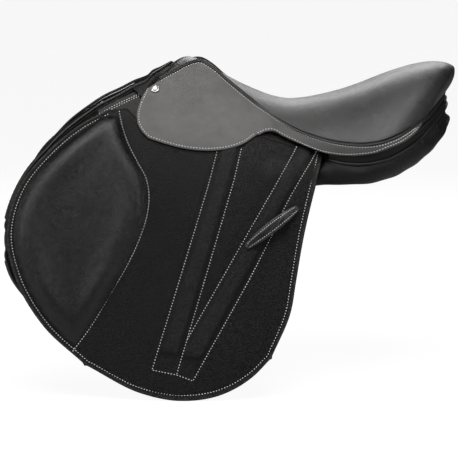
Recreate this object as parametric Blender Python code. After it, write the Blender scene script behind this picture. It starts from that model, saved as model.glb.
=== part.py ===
"""A jumping saddle: tree, seat, skirts, flaps, panels, stirrup bars and girth straps.

+X runs to the cantle, the rider's left (near) side is -Y and +Z is up. The origin is on the centre
plane at the height of the panels' bearing line, beneath the lowest point of the seat. Left and right
are mirror images, so outlines are written once, for a positive y, and used with a side of -1 or +1.
"""

import math

import bmesh
import bpy
from mathutils import Vector
from mathutils.bvhtree import BVHTree

# Clearances
GAP = 0.0003            # between pieces that touch
LAYER_GAP = 0.001       # between leathers that slide on each other
STRAP_GAP = 0.0026      # free space on each face of a girth strap

# Leather thicknesses
SKIRT = 0.003
FLAP = 0.004
STRAP = 0.0045
SWEAT_FLAP = 0.0035
COVER = 0.0025

# Depths below the outer face of the skirt, where the hinge line of skirt and flap lies
FLAP_FACE = SKIRT + LAYER_GAP
FLAP_BACK = FLAP_FACE + FLAP
STRAP_FACE = FLAP_BACK + STRAP_GAP
STRAP_BACK = STRAP_FACE + STRAP
SWEAT_FACE = STRAP_BACK + STRAP_GAP
SWEAT_BACK = SWEAT_FACE + SWEAT_FLAP

# Hinge line on which the flap and the lower skirt bend
HINGE_FRONT = Vector((-0.2153, 0.0950, 0.0989))
HINGE_REAR = Vector((0.0358, 0.1250, 0.0267))
HINGE_GAP = 0.00045     # from the hinge line to the edge of a moving leather

# Edge of the flap above its bend, doubled where it is nailed, and the girth webs' depth behind it
FLAP_HEAD_HEIGHT = 0.008
FLAP_HEAD = 0.0048
WEB_FACE = SKIRT + FLAP_HEAD + 2 * GAP

# Shape of the side below the hinge line
SHOULDER_WIDTH = 0.035  # how far the side rounds out just below the hinge line
SHOULDER_DEPTH = 0.050
SIDE_SLOPE = 0.200      # outward lean of the straight lower side
FRONT_FLARE = 0.018
REAR_TUCK = 0.010
FLARE_DEPTH = 0.120

SEARCH_STEPS = 12       # of a search for the place at which two pieces meet

LEFT = -1
RIGHT = 1
SIDES = (("left", LEFT), ("right", RIGHT))


# Mesh building

MATERIALS = {
    "leather": ((0.012, 0.012, 0.013, 1.0), 0.48, 0.0),
    "soft_leather": ((0.016, 0.015, 0.015, 1.0), 0.40, 0.0),
    "strap_leather": ((0.018, 0.016, 0.015, 1.0), 0.55, 0.0),
    "foam": ((0.30, 0.29, 0.26, 1.0), 0.90, 0.0),
    "beech": ((0.42, 0.27, 0.14, 1.0), 0.60, 0.0),
    "webbing": ((0.35, 0.31, 0.24, 1.0), 0.85, 0.0),
    "steel": ((0.34, 0.34, 0.35, 1.0), 0.35, 1.0),
    "chrome": ((0.80, 0.80, 0.82, 1.0), 0.12, 1.0),
}


def material(slot):
    """The Principled material of a slot, made once."""
    found = bpy.data.materials.get(slot)
    if found:
        return found
    colour, roughness, metallic = MATERIALS[slot]
    made = bpy.data.materials.new(slot)
    made.use_nodes = True
    shader = made.node_tree.nodes["Principled BSDF"]
    shader.inputs["Base Color"].default_value = colour
    shader.inputs["Roughness"].default_value = roughness
    shader.inputs["Metallic"].default_value = metallic
    return made


def make(name, points, faces, slot, origin=(0.0, 0.0, 0.0), smooth=40.0):
    """One closed object from world points, with its own origin."""
    origin = Vector(origin)
    mesh = bpy.data.meshes.new(name)
    mesh.from_pydata([Vector(p) - origin for p in points], [], faces)
    tidy = bmesh.new()
    tidy.from_mesh(mesh)
    bmesh.ops.remove_doubles(tidy, verts=tidy.verts, dist=0.00002)
    bmesh.ops.recalc_face_normals(tidy, faces=tidy.faces)
    tidy.to_mesh(mesh)
    tidy.free()
    mesh.shade_smooth()
    mesh.set_sharp_from_angle(angle=math.radians(smooth))
    mesh.materials.append(material(slot))
    made = bpy.data.objects.new(name, mesh)
    made.location = origin
    bpy.context.scene.collection.objects.link(made)
    return made


def loft(sections, cap=True, closed=False):
    """Points and faces of a skin through closed sections of equal count."""
    count = len(sections[0])
    points = [p for section in sections for p in section]
    faces = []
    spans = len(sections) if closed else len(sections) - 1
    for i in range(spans):
        a = i * count
        b = (i + 1) % len(sections) * count
        for j in range(count):
            k = (j + 1) % count
            faces.append((a + j, a + k, b + k, b + j))
    if cap and not closed:
        faces.append(tuple(range(count - 1, -1, -1)))
        last = (len(sections) - 1) * count
        faces.append(tuple(range(last, last + count)))
    return points, faces


def shell(outer, inner):
    """Points and faces of a closed sheet between two grids of rows."""
    rows, columns = len(outer), len(outer[0])
    size = rows * columns
    points = [p for row in outer for p in row] + [p for row in inner for p in row]
    faces = []
    for i in range(rows - 1):
        for j in range(columns - 1):
            a = i * columns + j
            b = a + columns
            faces.append((a, a + 1, b + 1, b))
            faces.append((a + size, b + size, b + 1 + size, a + 1 + size))
    rim = [j for j in range(columns)]
    rim += [i * columns + columns - 1 for i in range(1, rows)]
    rim += [(rows - 1) * columns + j for j in range(columns - 2, -1, -1)]
    rim += [i * columns for i in range(rows - 2, 0, -1)]
    for a, b in zip(rim, rim[1:] + rim[:1]):
        faces.append((a, a + size, b + size, b))
    return points, faces


# Curves

def smooth_curve(points):
    """A function of 0..1 that runs evenly along a smooth curve through the points."""
    points = [Vector(p) for p in points]
    knots = [0.0]
    for a, b in zip(points, points[1:]):
        knots.append(knots[-1] + (b - a).length)
    total = knots[-1]

    def slope(i):
        if i == 0:
            return (points[1] - points[0]) / (knots[1] - knots[0])
        if i == len(points) - 1:
            return (points[-1] - points[-2]) / (knots[-1] - knots[-2])
        before = (points[i] - points[i - 1]) / (knots[i] - knots[i - 1])
        after = (points[i + 1] - points[i]) / (knots[i + 1] - knots[i])
        share = (knots[i] - knots[i - 1]) / (knots[i + 1] - knots[i - 1])
        return before * (1 - share) + after * share

    slopes = [slope(i) for i in range(len(points))]

    def at(t):
        s = min(max(t, 0.0), 1.0) * total
        i = 0
        while i < len(points) - 2 and s > knots[i + 1]:
            i += 1
        span = knots[i + 1] - knots[i]
        u = (s - knots[i]) / span
        return (
            points[i] * (2 * u ** 3 - 3 * u ** 2 + 1)
            + slopes[i] * span * (u ** 3 - 2 * u ** 2 + u)
            + points[i + 1] * (3 * u ** 2 - 2 * u ** 3)
            + slopes[i + 1] * span * (u ** 3 - u ** 2)
        )

    return at


def straight_curve(points):
    """A function of 0..1 along straight runs, and the shares at which its corners lie."""
    points = [Vector(p) for p in points]
    knots = [0.0]
    for a, b in zip(points, points[1:]):
        knots.append(knots[-1] + (b - a).length)
    shares = [k / knots[-1] for k in knots]

    def at(t):
        i = 0
        while i < len(points) - 2 and t > shares[i + 1]:
            i += 1
        u = (t - shares[i]) / (shares[i + 1] - shares[i])
        return points[i].lerp(points[i + 1], u)

    return at, shares


def even(count):
    """Shares from 0 to 1 at equal steps."""
    return [i / (count - 1) for i in range(count)]


def filled(shares, step):
    """Shares that keep the given ones and add others at most a step apart."""
    result = [shares[0]]
    for a, b in zip(shares, shares[1:]):
        parts = max(1, math.ceil((b - a) / step))
        result += [a + (b - a) * (k + 1) / parts for k in range(parts)]
    return result


def coons(top, bottom, front, rear, across, down):
    """Rows of points that fill the space between four edge curves."""
    a, b = top(0.0), top(1.0)
    c, d = bottom(0.0), bottom(1.0)
    rows = []
    for t in down:
        row = []
        for s in across:
            ruled = top(s) * (1 - t) + bottom(s) * t + front(t) * (1 - s) + rear(t) * s
            corners = (a * (1 - s) + b * s) * (1 - t) + (c * (1 - s) + d * s) * t
            row.append(ruled - corners)
        rows.append(row)
    return rows


def ease(t):
    """A smooth step from 0 to 1."""
    t = min(max(t, 0.0), 1.0)
    return t * t * (3 - 2 * t)


# The side of the saddle

def hinge_z(x):
    """Height of the hinge line at x."""
    share = (x - HINGE_FRONT.x) / (HINGE_REAR.x - HINGE_FRONT.x)
    return HINGE_FRONT.z + share * (HINGE_REAR.z - HINGE_FRONT.z)


def hinge_y(x):
    """Distance of the hinge line from the centre plane at x."""
    share = (x - HINGE_FRONT.x) / (HINGE_REAR.x - HINGE_FRONT.x)
    return HINGE_FRONT.y + share * (HINGE_REAR.y - HINGE_FRONT.y)


def side_y(x, z):
    """Distance of the outer side face from the centre plane at x, z."""
    drop = hinge_z(x) - z
    flare = FRONT_FLARE * min(max(-x / 0.2 - 1.0, 0.0), 1.0) ** 2
    tuck = REAR_TUCK * min(max((x + 0.12) / 0.15, 0.0), 1.0) ** 2
    shoulder = SHOULDER_WIDTH * (1.0 - math.exp(-drop / SHOULDER_DEPTH))
    return hinge_y(x) + shoulder + SIDE_SLOPE * drop + (flare - tuck) * ease(drop / FLARE_DEPTH)


def side_normal(x, z):
    """Outward unit normal of the right side face."""
    step = 0.0005
    along = (side_y(x + step, z) - side_y(x - step, z)) / (2 * step)
    up = (side_y(x, z + step) - side_y(x, z - step)) / (2 * step)
    return Vector((-along, 1.0, -up)).normalized()


def on_side(x, z, depth, side):
    """The point at a depth below the side face, on the given side."""
    point = Vector((x, side_y(x, z), z)) - side_normal(x, z) * depth
    return Vector((point.x, point.y * side, point.z))


def layer_y(x, z, depth):
    """Distance from the centre plane, at x, z, of the face at a depth below the side."""
    place = Vector((x, z))
    for _ in range(SEARCH_STEPS):
        found = on_side(place.x, place.y, depth, RIGHT)
        place += Vector((x - found.x, z - found.z))
    return found.y


def sheet_skin(rows, face, thickness, side):
    """Points and faces of a sheet that follows the side, from rows of x, z places."""
    outer = [[on_side(p.x, p.y, face, side) for p in row] for row in rows]
    inner = [[on_side(p.x, p.y, face + thickness, side) for p in row] for row in rows]
    return shell(outer, inner)


def side_sheet(name, rows, face, thickness, side, slot, origin=(0.0, 0.0, 0.0)):
    """A sheet that follows the side, from rows of x, z places and the depth of its outer face."""
    points, faces = sheet_skin(rows, face, thickness, side)
    return make(name, points, faces, slot, origin)


def mirrored(points, side):
    """Points written for the right side, on the given side."""
    return [Vector((p[0], p[1] * side, p[2])) for p in points]


# Outlines on the side, as x, z

SKIRT_FRONT = ((-0.2153, 0.0981), (-0.2202, 0.0806), (-0.2192, 0.0689), (-0.2145, 0.0592),
               (-0.2050, 0.0493))
SKIRT_EDGE = ((-0.2050, 0.0493), (-0.1908, 0.0445), (-0.1504, 0.0345), (-0.1098, 0.0329),
              (-0.0895, 0.0361), (-0.0689, 0.0436), (-0.0575, 0.0508))
FLAP_TOP_FRONT = ((-0.2622, 0.0879), (-0.2339, 0.0898), (-0.2135, 0.0680), (-0.2000, 0.0500))
NOTCH_REAR = -0.0850     # where the flap rises behind the stirrup bar
NOTCH_DROP = 0.0260      # depth of the notch below the hinge line at its rear
FLAP_FRONT = ((-0.2622, 0.0879), (-0.3004, 0.0671), (-0.3430, 0.0317), (-0.3797, -0.0138),
              (-0.3978, -0.0793), (-0.3870, -0.1331), (-0.3467, -0.2035), (-0.2926, -0.2544))
FLAP_BOTTOM = ((-0.2926, -0.2544), (-0.2153, -0.2928), (-0.1608, -0.3016), (-0.1103, -0.2942),
               (-0.0641, -0.2696), (-0.0388, -0.2457))
FLAP_REAR = ((0.0358, 0.0259), (0.0224, -0.0209), (0.0042, -0.0961), (-0.0047, -0.1444),
             (-0.0121, -0.1845), (-0.0388, -0.2457))
SWEAT_TOP = ((-0.2835, 0.0850), (-0.2450, 0.0550), (-0.2000, 0.0180), (-0.1000, -0.0020),
             (0.0050, -0.0180))
SWEAT_FRONT = ((-0.2835, 0.0850), (-0.3244, 0.0572), (-0.3736, 0.0051), (-0.3990, -0.0542),
               (-0.4030, -0.0786), (-0.3940, -0.1320), (-0.3560, -0.1850))
SWEAT_BOTTOM = ((-0.3560, -0.1850), (-0.3000, -0.2230), (-0.2200, -0.2480), (-0.1500, -0.2480),
                (-0.0900, -0.2300))
SWEAT_REAR = ((0.0050, -0.0180), (-0.0150, -0.0800), (-0.0450, -0.1600), (-0.0900, -0.2300))
PAD_TOP = ((-0.2690, 0.0790), (-0.2440, 0.0800))
PAD_FRONT = ((-0.2690, 0.0790), (-0.3370, 0.0260), (-0.3720, -0.0170), (-0.3888, -0.0793),
             (-0.3790, -0.1290), (-0.3400, -0.1970), (-0.3180, -0.2200))
PAD_REAR = ((-0.2440, 0.0800), (-0.2331, 0.0431), (-0.2086, -0.0042), (-0.2074, -0.0541),
            (-0.2309, -0.1147), (-0.2857, -0.2057), (-0.3030, -0.2270))
PAD_BOTTOM = ((-0.3180, -0.2200), (-0.3030, -0.2270))


def flat(points):
    """Outline points as vectors of x and z."""
    return [Vector((p[0], p[1], 0.0)) for p in points]


def flap_rows():
    """The flap's rows, from its notched top edge to its round bottom."""
    notch_z = hinge_z(NOTCH_REAR) - NOTCH_DROP
    top = list(FLAP_TOP_FRONT) + [
        (NOTCH_REAR - 0.010, notch_z),
        (NOTCH_REAR, hinge_z(NOTCH_REAR) - HINGE_GAP),
        FLAP_REAR[0],
    ]
    top_at, shares = straight_curve(flat(top))
    across = filled(shares, 0.09)
    down = [t ** 1.15 for t in even(15)]
    return coons(top_at, smooth_curve(flat(FLAP_BOTTOM)), smooth_curve(flat(FLAP_FRONT)),
                 smooth_curve(flat(FLAP_REAR)), across, down)


def patch_rows(top, bottom, front, rear, columns, rows):
    """Rows that fill a smooth four-sided outline on the side."""
    return coons(smooth_curve(flat(top)), smooth_curve(flat(bottom)), smooth_curve(flat(front)),
                 smooth_curve(flat(rear)), even(columns), even(rows))


def hinge_point(side):
    """The middle of the hinge line, where the moving leathers have their origin."""
    middle = (HINGE_FRONT + HINGE_REAR) / 2
    return Vector((middle.x, middle.y * side, middle.z))


PAD_EDGE = 0.0015
PAD_CROWN = 0.0105
KEEPER_FRONT = (-0.0713, -0.0970)
KEEPER_REAR = (-0.0003, -0.0450)
KEEPER_WIDTH = 0.014
KEEPER_THICKNESS = 0.0025
KEEPER_RISE = 0.0080     # free height under the middle of the keeper


def build_flap(label, side):
    """The flap, its knee pad and the keeper that takes the end of the stirrup leather."""
    origin = hinge_point(side)
    side_sheet("flap_" + label, flap_rows(), FLAP_FACE, FLAP, side, "leather", origin)

    rows = patch_rows(PAD_TOP, PAD_BOTTOM, PAD_FRONT, PAD_REAR, 9, 15)
    inner = [[on_side(p.x, p.y, FLAP_FACE - GAP, side) for p in row] for row in rows]
    outer = []
    for i, row in enumerate(rows):
        line = []
        for j, p in enumerate(row):
            rise = PAD_EDGE + PAD_CROWN * crown(i / (len(rows) - 1)) * crown(j / (len(row) - 1))
            line.append(on_side(p.x, p.y, FLAP_FACE - GAP - rise, side))
        outer.append(line)
    points, faces = shell(outer, inner)
    make("knee_pad_" + label, points, faces, "soft_leather", origin)

    start, end = Vector(KEEPER_FRONT), Vector(KEEPER_REAR)
    along = (end - start).normalized()
    across = Vector((-along.y, along.x)) * KEEPER_WIDTH / 2
    sections = []
    for t in even(15):
        middle = start.lerp(end, t)
        # a leaf shape: narrow, stitched ends and a raised middle
        width = 0.35 + 0.65 * math.sin(math.pi * t) ** 0.5
        rise = KEEPER_RISE * ease(t / 0.3) * ease((1 - t) / 0.3)
        face = FLAP_FACE - GAP - rise
        a, b = middle - across * width, middle + across * width
        sections.append([
            on_side(a.x, a.y, face, side), on_side(b.x, b.y, face, side),
            on_side(b.x, b.y, face - KEEPER_THICKNESS, side),
            on_side(a.x, a.y, face - KEEPER_THICKNESS, side),
        ])
    points, faces = loft(sections)
    make("leather_keeper_" + label, points, faces, "strap_leather", origin)


def crown(t):
    """Full over the middle and drawn in to nothing at 0 and 1."""
    return ease(min(t, 1.0 - t) / 0.28)


def build_flap_head(label, side):
    """The edge of the flap above its bend, nailed to the tree rail under the skirt."""
    top, bottom = [], []
    for t in even(6):
        x = NOTCH_REAR + (HINGE_REAR.x - NOTCH_REAR) * t
        bottom.append(Vector((x, hinge_z(x) + HINGE_GAP)))
        top.append(Vector((x, hinge_z(x) + HINGE_GAP + FLAP_HEAD_HEIGHT)))
    side_sheet("flap_head_" + label, [top, bottom], SKIRT + GAP, FLAP_HEAD, side, "leather")


# Skirts

SKIRT_SWELL = 0.002
SKIRT_CREST = ((-0.2066, 0.0777, 0.1141), (-0.1880, 0.0700, 0.1260), (-0.1670, 0.0580, 0.1370),
               (-0.1450, 0.0450, 0.1475), (-0.1320, 0.0400, 0.1500), (-0.1160, 0.0470, 0.1420),
               (-0.0970, 0.0550, 0.1260), (-0.0770, 0.0650, 0.1100), (-0.0565, 0.0750, 0.0940),
               (-0.0360, 0.0860, 0.0790), (-0.0160, 0.0970, 0.0670), (0.0035, 0.1080, 0.0570),
               (0.0230, 0.1190, 0.0500), (0.0460, 0.1300, 0.0440), (0.0640, 0.1380, 0.0415),
               (0.0810, 0.1450, 0.0405), (0.0990, 0.1500, 0.0415), (0.1170, 0.1520, 0.0450),
               (0.1350, 0.1480, 0.0515), (0.1540, 0.1380, 0.0600), (0.1740, 0.1220, 0.0700))
STRIP_EDGE = ((-0.0541, 0.1146, 0.0525), (-0.0420, 0.1120, 0.0570), (-0.0305, 0.1120, 0.0575),
              (-0.0180, 0.1150, 0.0510), (0.0000, 0.1200, 0.0425), (0.0180, 0.1280, 0.0350),
              (0.0360, 0.1360, 0.0290), (0.0540, 0.1430, 0.0260), (0.0720, 0.1500, 0.0254),
              (0.0890, 0.1550, 0.0270), (0.1070, 0.1580, 0.0300), (0.1250, 0.1590, 0.0370),
              (0.1440, 0.1540, 0.0440), (0.1630, 0.1420, 0.0560), (0.1750, 0.1260, 0.0660))


def curve_run(points, count):
    """Points at equal steps along a smooth curve."""
    at = smooth_curve(points)
    return [at(t) for t in even(count)]


def sheet_normal(rows, i, j):
    """Normal of a grid of points at one of them, facing away from the centre plane or up."""
    down = rows[min(i + 1, len(rows) - 1)][j] - rows[max(i - 1, 0)][j]
    across = rows[i][min(j + 1, len(rows[0]) - 1)] - rows[i][max(j - 1, 0)]
    normal = across.cross(down)
    if normal.length < 1e-12:
        return Vector((0.0, 0.0, 1.0))
    normal.normalize()
    return -normal if normal.y + 0.6 * normal.z < 0 else normal


def skirt_edges():
    """The crest and the lower edge of the fixed part of the skirt."""
    hinge = [HINGE_FRONT.lerp(HINGE_REAR, t) for t in (0.0, 0.2, 0.4, 0.56, 0.62, 0.642)]
    lifted = [p + Vector((0.0, 0.0, HINGE_GAP)) for p in hinge]
    return smooth_curve(SKIRT_CREST), smooth_curve(lifted + list(STRIP_EDGE[1:]))


def skirt_top_point(crest, lower, t, share):
    """A point of the fixed part, which swells a little between its edges."""
    high, low = crest(t), lower(t)
    fall = high - low
    out = Vector((0.0, fall.z, -fall.y))
    out = out.normalized() if out.length > 1e-6 else Vector((0.0, 0.7, 0.7))
    swell = SKIRT_SWELL * 4.0 * share * (1.0 - share) * min(1.0, fall.length / 0.03)
    return high.lerp(low, share) + out * swell


def skirt_top_rows():
    """Rows of the fixed part of the skirt, from the crest to the hinge line and the strip's edge."""
    crest, lower = skirt_edges()
    return [[skirt_top_point(crest, lower, t, share) for t in even(27)] for share in even(5)]


def offset_sheet(name, rows, face, thickness, side, slot):
    """A sheet below a grid of points written for the right side."""
    outer, inner = [], []
    for i, row in enumerate(rows):
        out, inside = [], []
        for j, p in enumerate(row):
            normal = sheet_normal(rows, i, j)
            out.append(p - normal * face)
            inside.append(p - normal * (face + thickness))
        outer.append(mirrored(out, side))
        inner.append(mirrored(inside, side))
    points, faces = shell(outer, inner)
    return make(name, points, faces, slot)


NAIL_ALONG = 0.022       # share of the crest's length
NAIL_DOWN = 0.38         # share of the way from the crest to the hinge line
NAIL_RADIUS = 0.0062
NAIL_RISE = 0.0035


def dome(centre, normal, radius, rise, sides=14, rings=4):
    """Points and faces of a domed nail head that stands on a plane."""
    normal = normal.normalized()
    across = normal.orthogonal().normalized()
    other = normal.cross(across)
    sections = []
    for i in range(rings):
        angle = math.pi / 2 * i / rings
        r, h = radius * math.cos(angle), rise * math.sin(angle)
        sections.append([
            centre + normal * h + (across * math.cos(a) + other * math.sin(a)) * r
            for a in (2 * math.pi * k / sides for k in range(sides))
        ])
    points, faces = loft(sections)
    top = len(points)
    points.append(centre + normal * rise)
    faces.pop()
    last = (rings - 1) * sides
    faces += [(last + k, last + (k + 1) % sides, top) for k in range(sides)]
    return points, faces


def build_skirt(label, side):
    """The skirt: its fixed top with the tail strip, its lifting lower part and its nail."""
    rows = skirt_top_rows()
    offset_sheet("skirt_top_" + label, rows, 0.0, SKIRT, side, "leather")

    top = [(HINGE_FRONT.x, hinge_z(HINGE_FRONT.x) - HINGE_GAP),
           (SKIRT_EDGE[-1][0], hinge_z(SKIRT_EDGE[-1][0]) - HINGE_GAP)]
    rear = [top[1], SKIRT_EDGE[-1]]
    rows = patch_rows(top, SKIRT_EDGE, SKIRT_FRONT, rear, 13, 5)
    side_sheet("skirt_" + label, rows, 0.0, SKIRT, side, "leather", hinge_point(side))
    crest, lower = skirt_edges()
    high, low = crest(NAIL_ALONG), lower(NAIL_ALONG)
    along = crest(NAIL_ALONG + 0.02) - high
    normal = along.cross(low - high).normalized()
    normal = normal if normal.y > 0 else -normal
    centre = skirt_top_point(crest, lower, NAIL_ALONG, NAIL_DOWN) + normal * GAP * 3
    points, faces = dome(*mirrored((centre, normal), side), NAIL_RADIUS, NAIL_RISE)
    make("saddle_nail_" + label, points, faces, "chrome")


# Seat, written as rows that fan from the pommel over the seat and down behind the cantle rim

SEAT_CENTRE = ((-0.1660, 0.1490), (-0.1580, 0.1535), (-0.1500, 0.1557), (-0.1400, 0.1540),
               (-0.1310, 0.1506), (-0.1110, 0.1390), (-0.0850, 0.1240), (-0.0530, 0.1090),
               (-0.0250, 0.0985), (0.0000, 0.0944), (0.0210, 0.0960), (0.0490, 0.1010),
               (0.0770, 0.1080), (0.1070, 0.1180), (0.1380, 0.1300), (0.1650, 0.1390),
               (0.1880, 0.1450), (0.2060, 0.1475), (0.2180, 0.1473), (0.2290, 0.1450),
               (0.2370, 0.1400), (0.2380, 0.1325), (0.2350, 0.1210), (0.2295, 0.1110),
               (0.2260, 0.1050))
SEAT_FOOT = (-0.1960, 0.0500, 0.1220)
SEAT_TAIL = ((0.1900, 0.0980, 0.0810), (0.2020, 0.0780, 0.0910), (0.2110, 0.0560, 0.0985),
             (0.2170, 0.0340, 0.1030))
SEAT_EDGE = (SEAT_FOOT,) + tuple(
    (x, y - 1.07 * SKIRT, z - 0.53 * SKIRT) for x, y, z in SKIRT_CREST[1:]) + SEAT_TAIL
SEAT_ROWS = 27
SEAT_STEP = 0.16         # widest column, as a share of the half width
FOAM_CENTRE = 0.024
FOAM_EDGE = 0.008
FOAM_POMMEL = 0.009
RIM_REACH = 0.022        # from the back of the cantle's rim to the tree
RAIL_INSET = 0.012       # from the seat's edge to the tree's edge
TREE_PLATE = 0.009
TREE_ROOM = 0.0007       # between the foam and the tree, on each axis, where they slope
RAIL_INNER = 0.56        # shares of the half width between which the rails run
RAIL_OUTER = 0.90
FOAM_FIRST = 1           # rows at which the foam, the rails, the cantle and its end lie
RAIL_FIRST = 4
CANTLE_FIRST = 18
CANTLE_LAST = 20
WEB = 0.002
WEB_SHARE = 0.99         # of the width between the rails, so that the webs clear them
WEB_FIRST = RAIL_FIRST + 2
WEB_LAST = CANTLE_FIRST - 1


def seat_share(row):
    """Place of a row along the seat, from 0 at the pommel piping to 1 behind the cantle."""
    return row / (SEAT_ROWS - 1)


def seat_point(s, b):
    """The outer face of the seat at s along it and b across it, -1 to 1."""
    centre = smooth_curve([Vector((p[0], 0.0, p[1])) for p in SEAT_CENTRE])
    centre_at = pick(centre, SEAT_CENTRE, s)
    edge_at = pick(smooth_curve(SEAT_EDGE), SEAT_EDGE, s)
    power = 2.1 + 0.5 * ease((s - 0.3) / 0.4)
    fall = abs(b) ** power
    return Vector((
        centre_at.x + (edge_at.x - centre_at.x) * abs(b) ** 2,
        edge_at.y * b,
        edge_at.z + (centre_at.z - edge_at.z) * (1.0 - fall),
    ))


def pick(curve, outline, s):
    """A point of a curve at an even share of its outline's points, so that rows of two agree."""
    knots = [0.0]
    places = [Vector(p) for p in outline]
    for a, b in zip(places, places[1:]):
        knots.append(knots[-1] + (b - a).length)
    scaled = s * (len(places) - 1)
    i = min(int(scaled), len(places) - 2)
    return curve((knots[i] + (knots[i + 1] - knots[i]) * (scaled - i)) / knots[-1])


def seat_grid():
    """Rows of points on the outer face of the seat, their outward normals and the columns' shares."""
    edges = (-1.0, -RAIL_OUTER, -RAIL_INNER, 0.0, RAIL_INNER, RAIL_OUTER, 1.0)
    shares = filled(edges, SEAT_STEP)
    columns = len(shares)
    rows = [[seat_point(seat_share(i), b) for b in shares] for i in range(SEAT_ROWS)]
    normals = []
    for i in range(SEAT_ROWS):
        line = []
        for j in range(columns):
            down = rows[min(i + 1, SEAT_ROWS - 1)][j] - rows[max(i - 1, 0)][j]
            across = rows[i][min(j + 1, columns - 1)] - rows[i][max(j - 1, 0)]
            line.append(down.cross(across).normalized())
        normals.append(line)
    return rows, normals, shares


def foam_depth(s, b):
    """The vector from the seat's outer face to the top of the tree."""
    behind = ease((s - 0.70) / 0.13)
    under = ease((s - 0.83) / 0.17)
    ahead = 1.0 - ease((s - 0.10) / 0.16)
    centre = FOAM_CENTRE + (FOAM_POMMEL - FOAM_CENTRE) * ahead
    middle = Vector((-RIM_REACH * behind * (1.0 - 0.4 * under), 0.0, -centre * (1.0 - 0.8 * under)))
    edge = Vector((-0.4 * RIM_REACH * behind, -math.copysign(RAIL_INSET, b) * (1.0 - ahead),
                   -FOAM_EDGE - COVER))
    return middle.lerp(edge, abs(b) ** 2)


def masked_shell(outer, inner, keep):
    """Points and faces of a sheet of which only the cells that keep(i, j) allows are made."""
    rows, columns = len(outer), len(outer[0])
    size = rows * columns
    points = [p for row in outer for p in row] + [p for row in inner for p in row]
    faces = []
    cells = {(i, j) for i in range(rows - 1) for j in range(columns - 1) if keep(i, j)}
    for i, j in cells:
        a = i * columns + j
        b = a + columns
        faces.append((a, a + 1, b + 1, b))
        faces.append((a + size, b + size, b + 1 + size, a + 1 + size))
        for near, first, second in (((i - 1, j), a, a + 1), ((i + 1, j), b + 1, b),
                                    ((i, j - 1), b, a), ((i, j + 1), a + 1, b + 1)):
            if near not in cells:
                faces.append((first, first + size, second + size, second))
    used = sorted({k for face in faces for k in face})
    place = {k: n for n, k in enumerate(used)}
    return [points[k] for k in used], [tuple(place[k] for k in face) for face in sorted(faces)]


def build_seat():
    """The seat cover, the foam under it and the tree's rails and cantle under that."""
    rows, normals, shares = seat_grid()
    under = [[p - n * COVER for p, n in zip(row, line)] for row, line in zip(rows, normals)]
    points, faces = shell(rows, under)
    make("seat_cover", points, faces, "soft_leather")

    top = [[p - n * (COVER + GAP) for p, n in zip(row, line)] for row, line in zip(rows, normals)]
    seat = []
    tree_top = []
    tree_bottom = []
    for i, row in enumerate(rows):
        s = seat_share(i)
        foam_line, top_line, bottom_line = [], [], []
        for j, p in enumerate(row):
            depth = foam_depth(s, shares[j])
            seated = p + depth - Vector((0.0, shares[j] * TREE_ROOM, TREE_ROOM))
            foam_line.append(p + depth)
            top_line.append(seated)
            bottom_line.append(seated - Vector((0.0, 0.0, TREE_PLATE)))
        seat.append(foam_line)
        tree_top.append(top_line)
        tree_bottom.append(bottom_line)
    points, faces = shell(top[FOAM_FIRST:-1], seat[FOAM_FIRST:-1])
    make("seat_foam", points, faces, "foam")

    def rail(i, j):
        middle = abs(shares[j] + shares[j + 1]) / 2
        outside = middle > RAIL_INNER or i >= CANTLE_FIRST
        return RAIL_FIRST <= i < CANTLE_LAST and middle < RAIL_OUTER and outside

    def web(i, j):
        middle = abs(shares[j] + shares[j + 1]) / 2
        return WEB_FIRST <= i < WEB_LAST and middle < RAIL_INNER

    points, faces = masked_shell(tree_top, tree_bottom, rail)
    make("tree_rails", points, faces, "beech")
    web_top = [[p - Vector((0.0, 0.0, LAYER_GAP)) for p in row] for row in tree_top]
    web_bottom = [[p - Vector((0.0, 0.0, WEB)) for p in row] for row in web_top]
    points, faces = masked_shell(web_top, web_bottom, web)
    points = [Vector((p.x, p.y * WEB_SHARE, p.z)) for p in points]
    make("seat_webs", points, faces, "webbing")


# Stirrup bars and the tree points that carry them

BAR_PLACE = (-0.1460, 0.0600)
BAR_HEIGHT = 0.012
BAR_FINGER_FACE = FLAP_FACE + 0.0006
BAR_FINGER = 0.0045
LEATHER_SLOT = 0.0085
BAR_BASE = 0.003
BAR_BACK = BAR_FINGER_FACE + BAR_FINGER + LEATHER_SLOT + BAR_BASE
BAR_FRONT = -0.044       # along the bar from its middle
FINGER_END = 0.026
CATCH_PIVOT = 0.0335
CATCH_LENGTH = 0.016
CATCH_THICKNESS = 0.0022
POINT_THICKNESS = 0.012
POINT_FRONT = -0.050     # the tree point, from the middle of the bar
POINT_REAR = 0.056
POINT_LOWEST = -0.020    # where the search for the panel under the point starts
POINT_ROOM = 0.0005      # from the point's lower end to the panel or the sweat flap
POINT_TOP = 0.020
POINT_RIM = (80, 9)      # places along and across the point's lower end at which its room is read


def bar_frame(side):
    """Origin on the side face and the axes along the bar, up it and out of the side."""
    x, z = BAR_PLACE
    out = side_normal(x, z)
    along = Vector((1.0, 0.0, 0.0))
    along = (along - out * along.dot(out)).normalized()
    up = out.cross(along)
    up = up if up.z > 0 else -up
    origin = Vector((x, side_y(x, z), z))

    def at(run, rise, depth):
        p = origin + along * run + up * rise - out * depth
        return Vector((p.x, p.y * side, p.z))

    return at


def prism(at, outline, low, high):
    """Points and faces of an outline in run and depth, raised between two heights."""
    sections = [[at(run, height, depth) for run, depth in outline] for height in (low, high)]
    return loft(sections)


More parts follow.
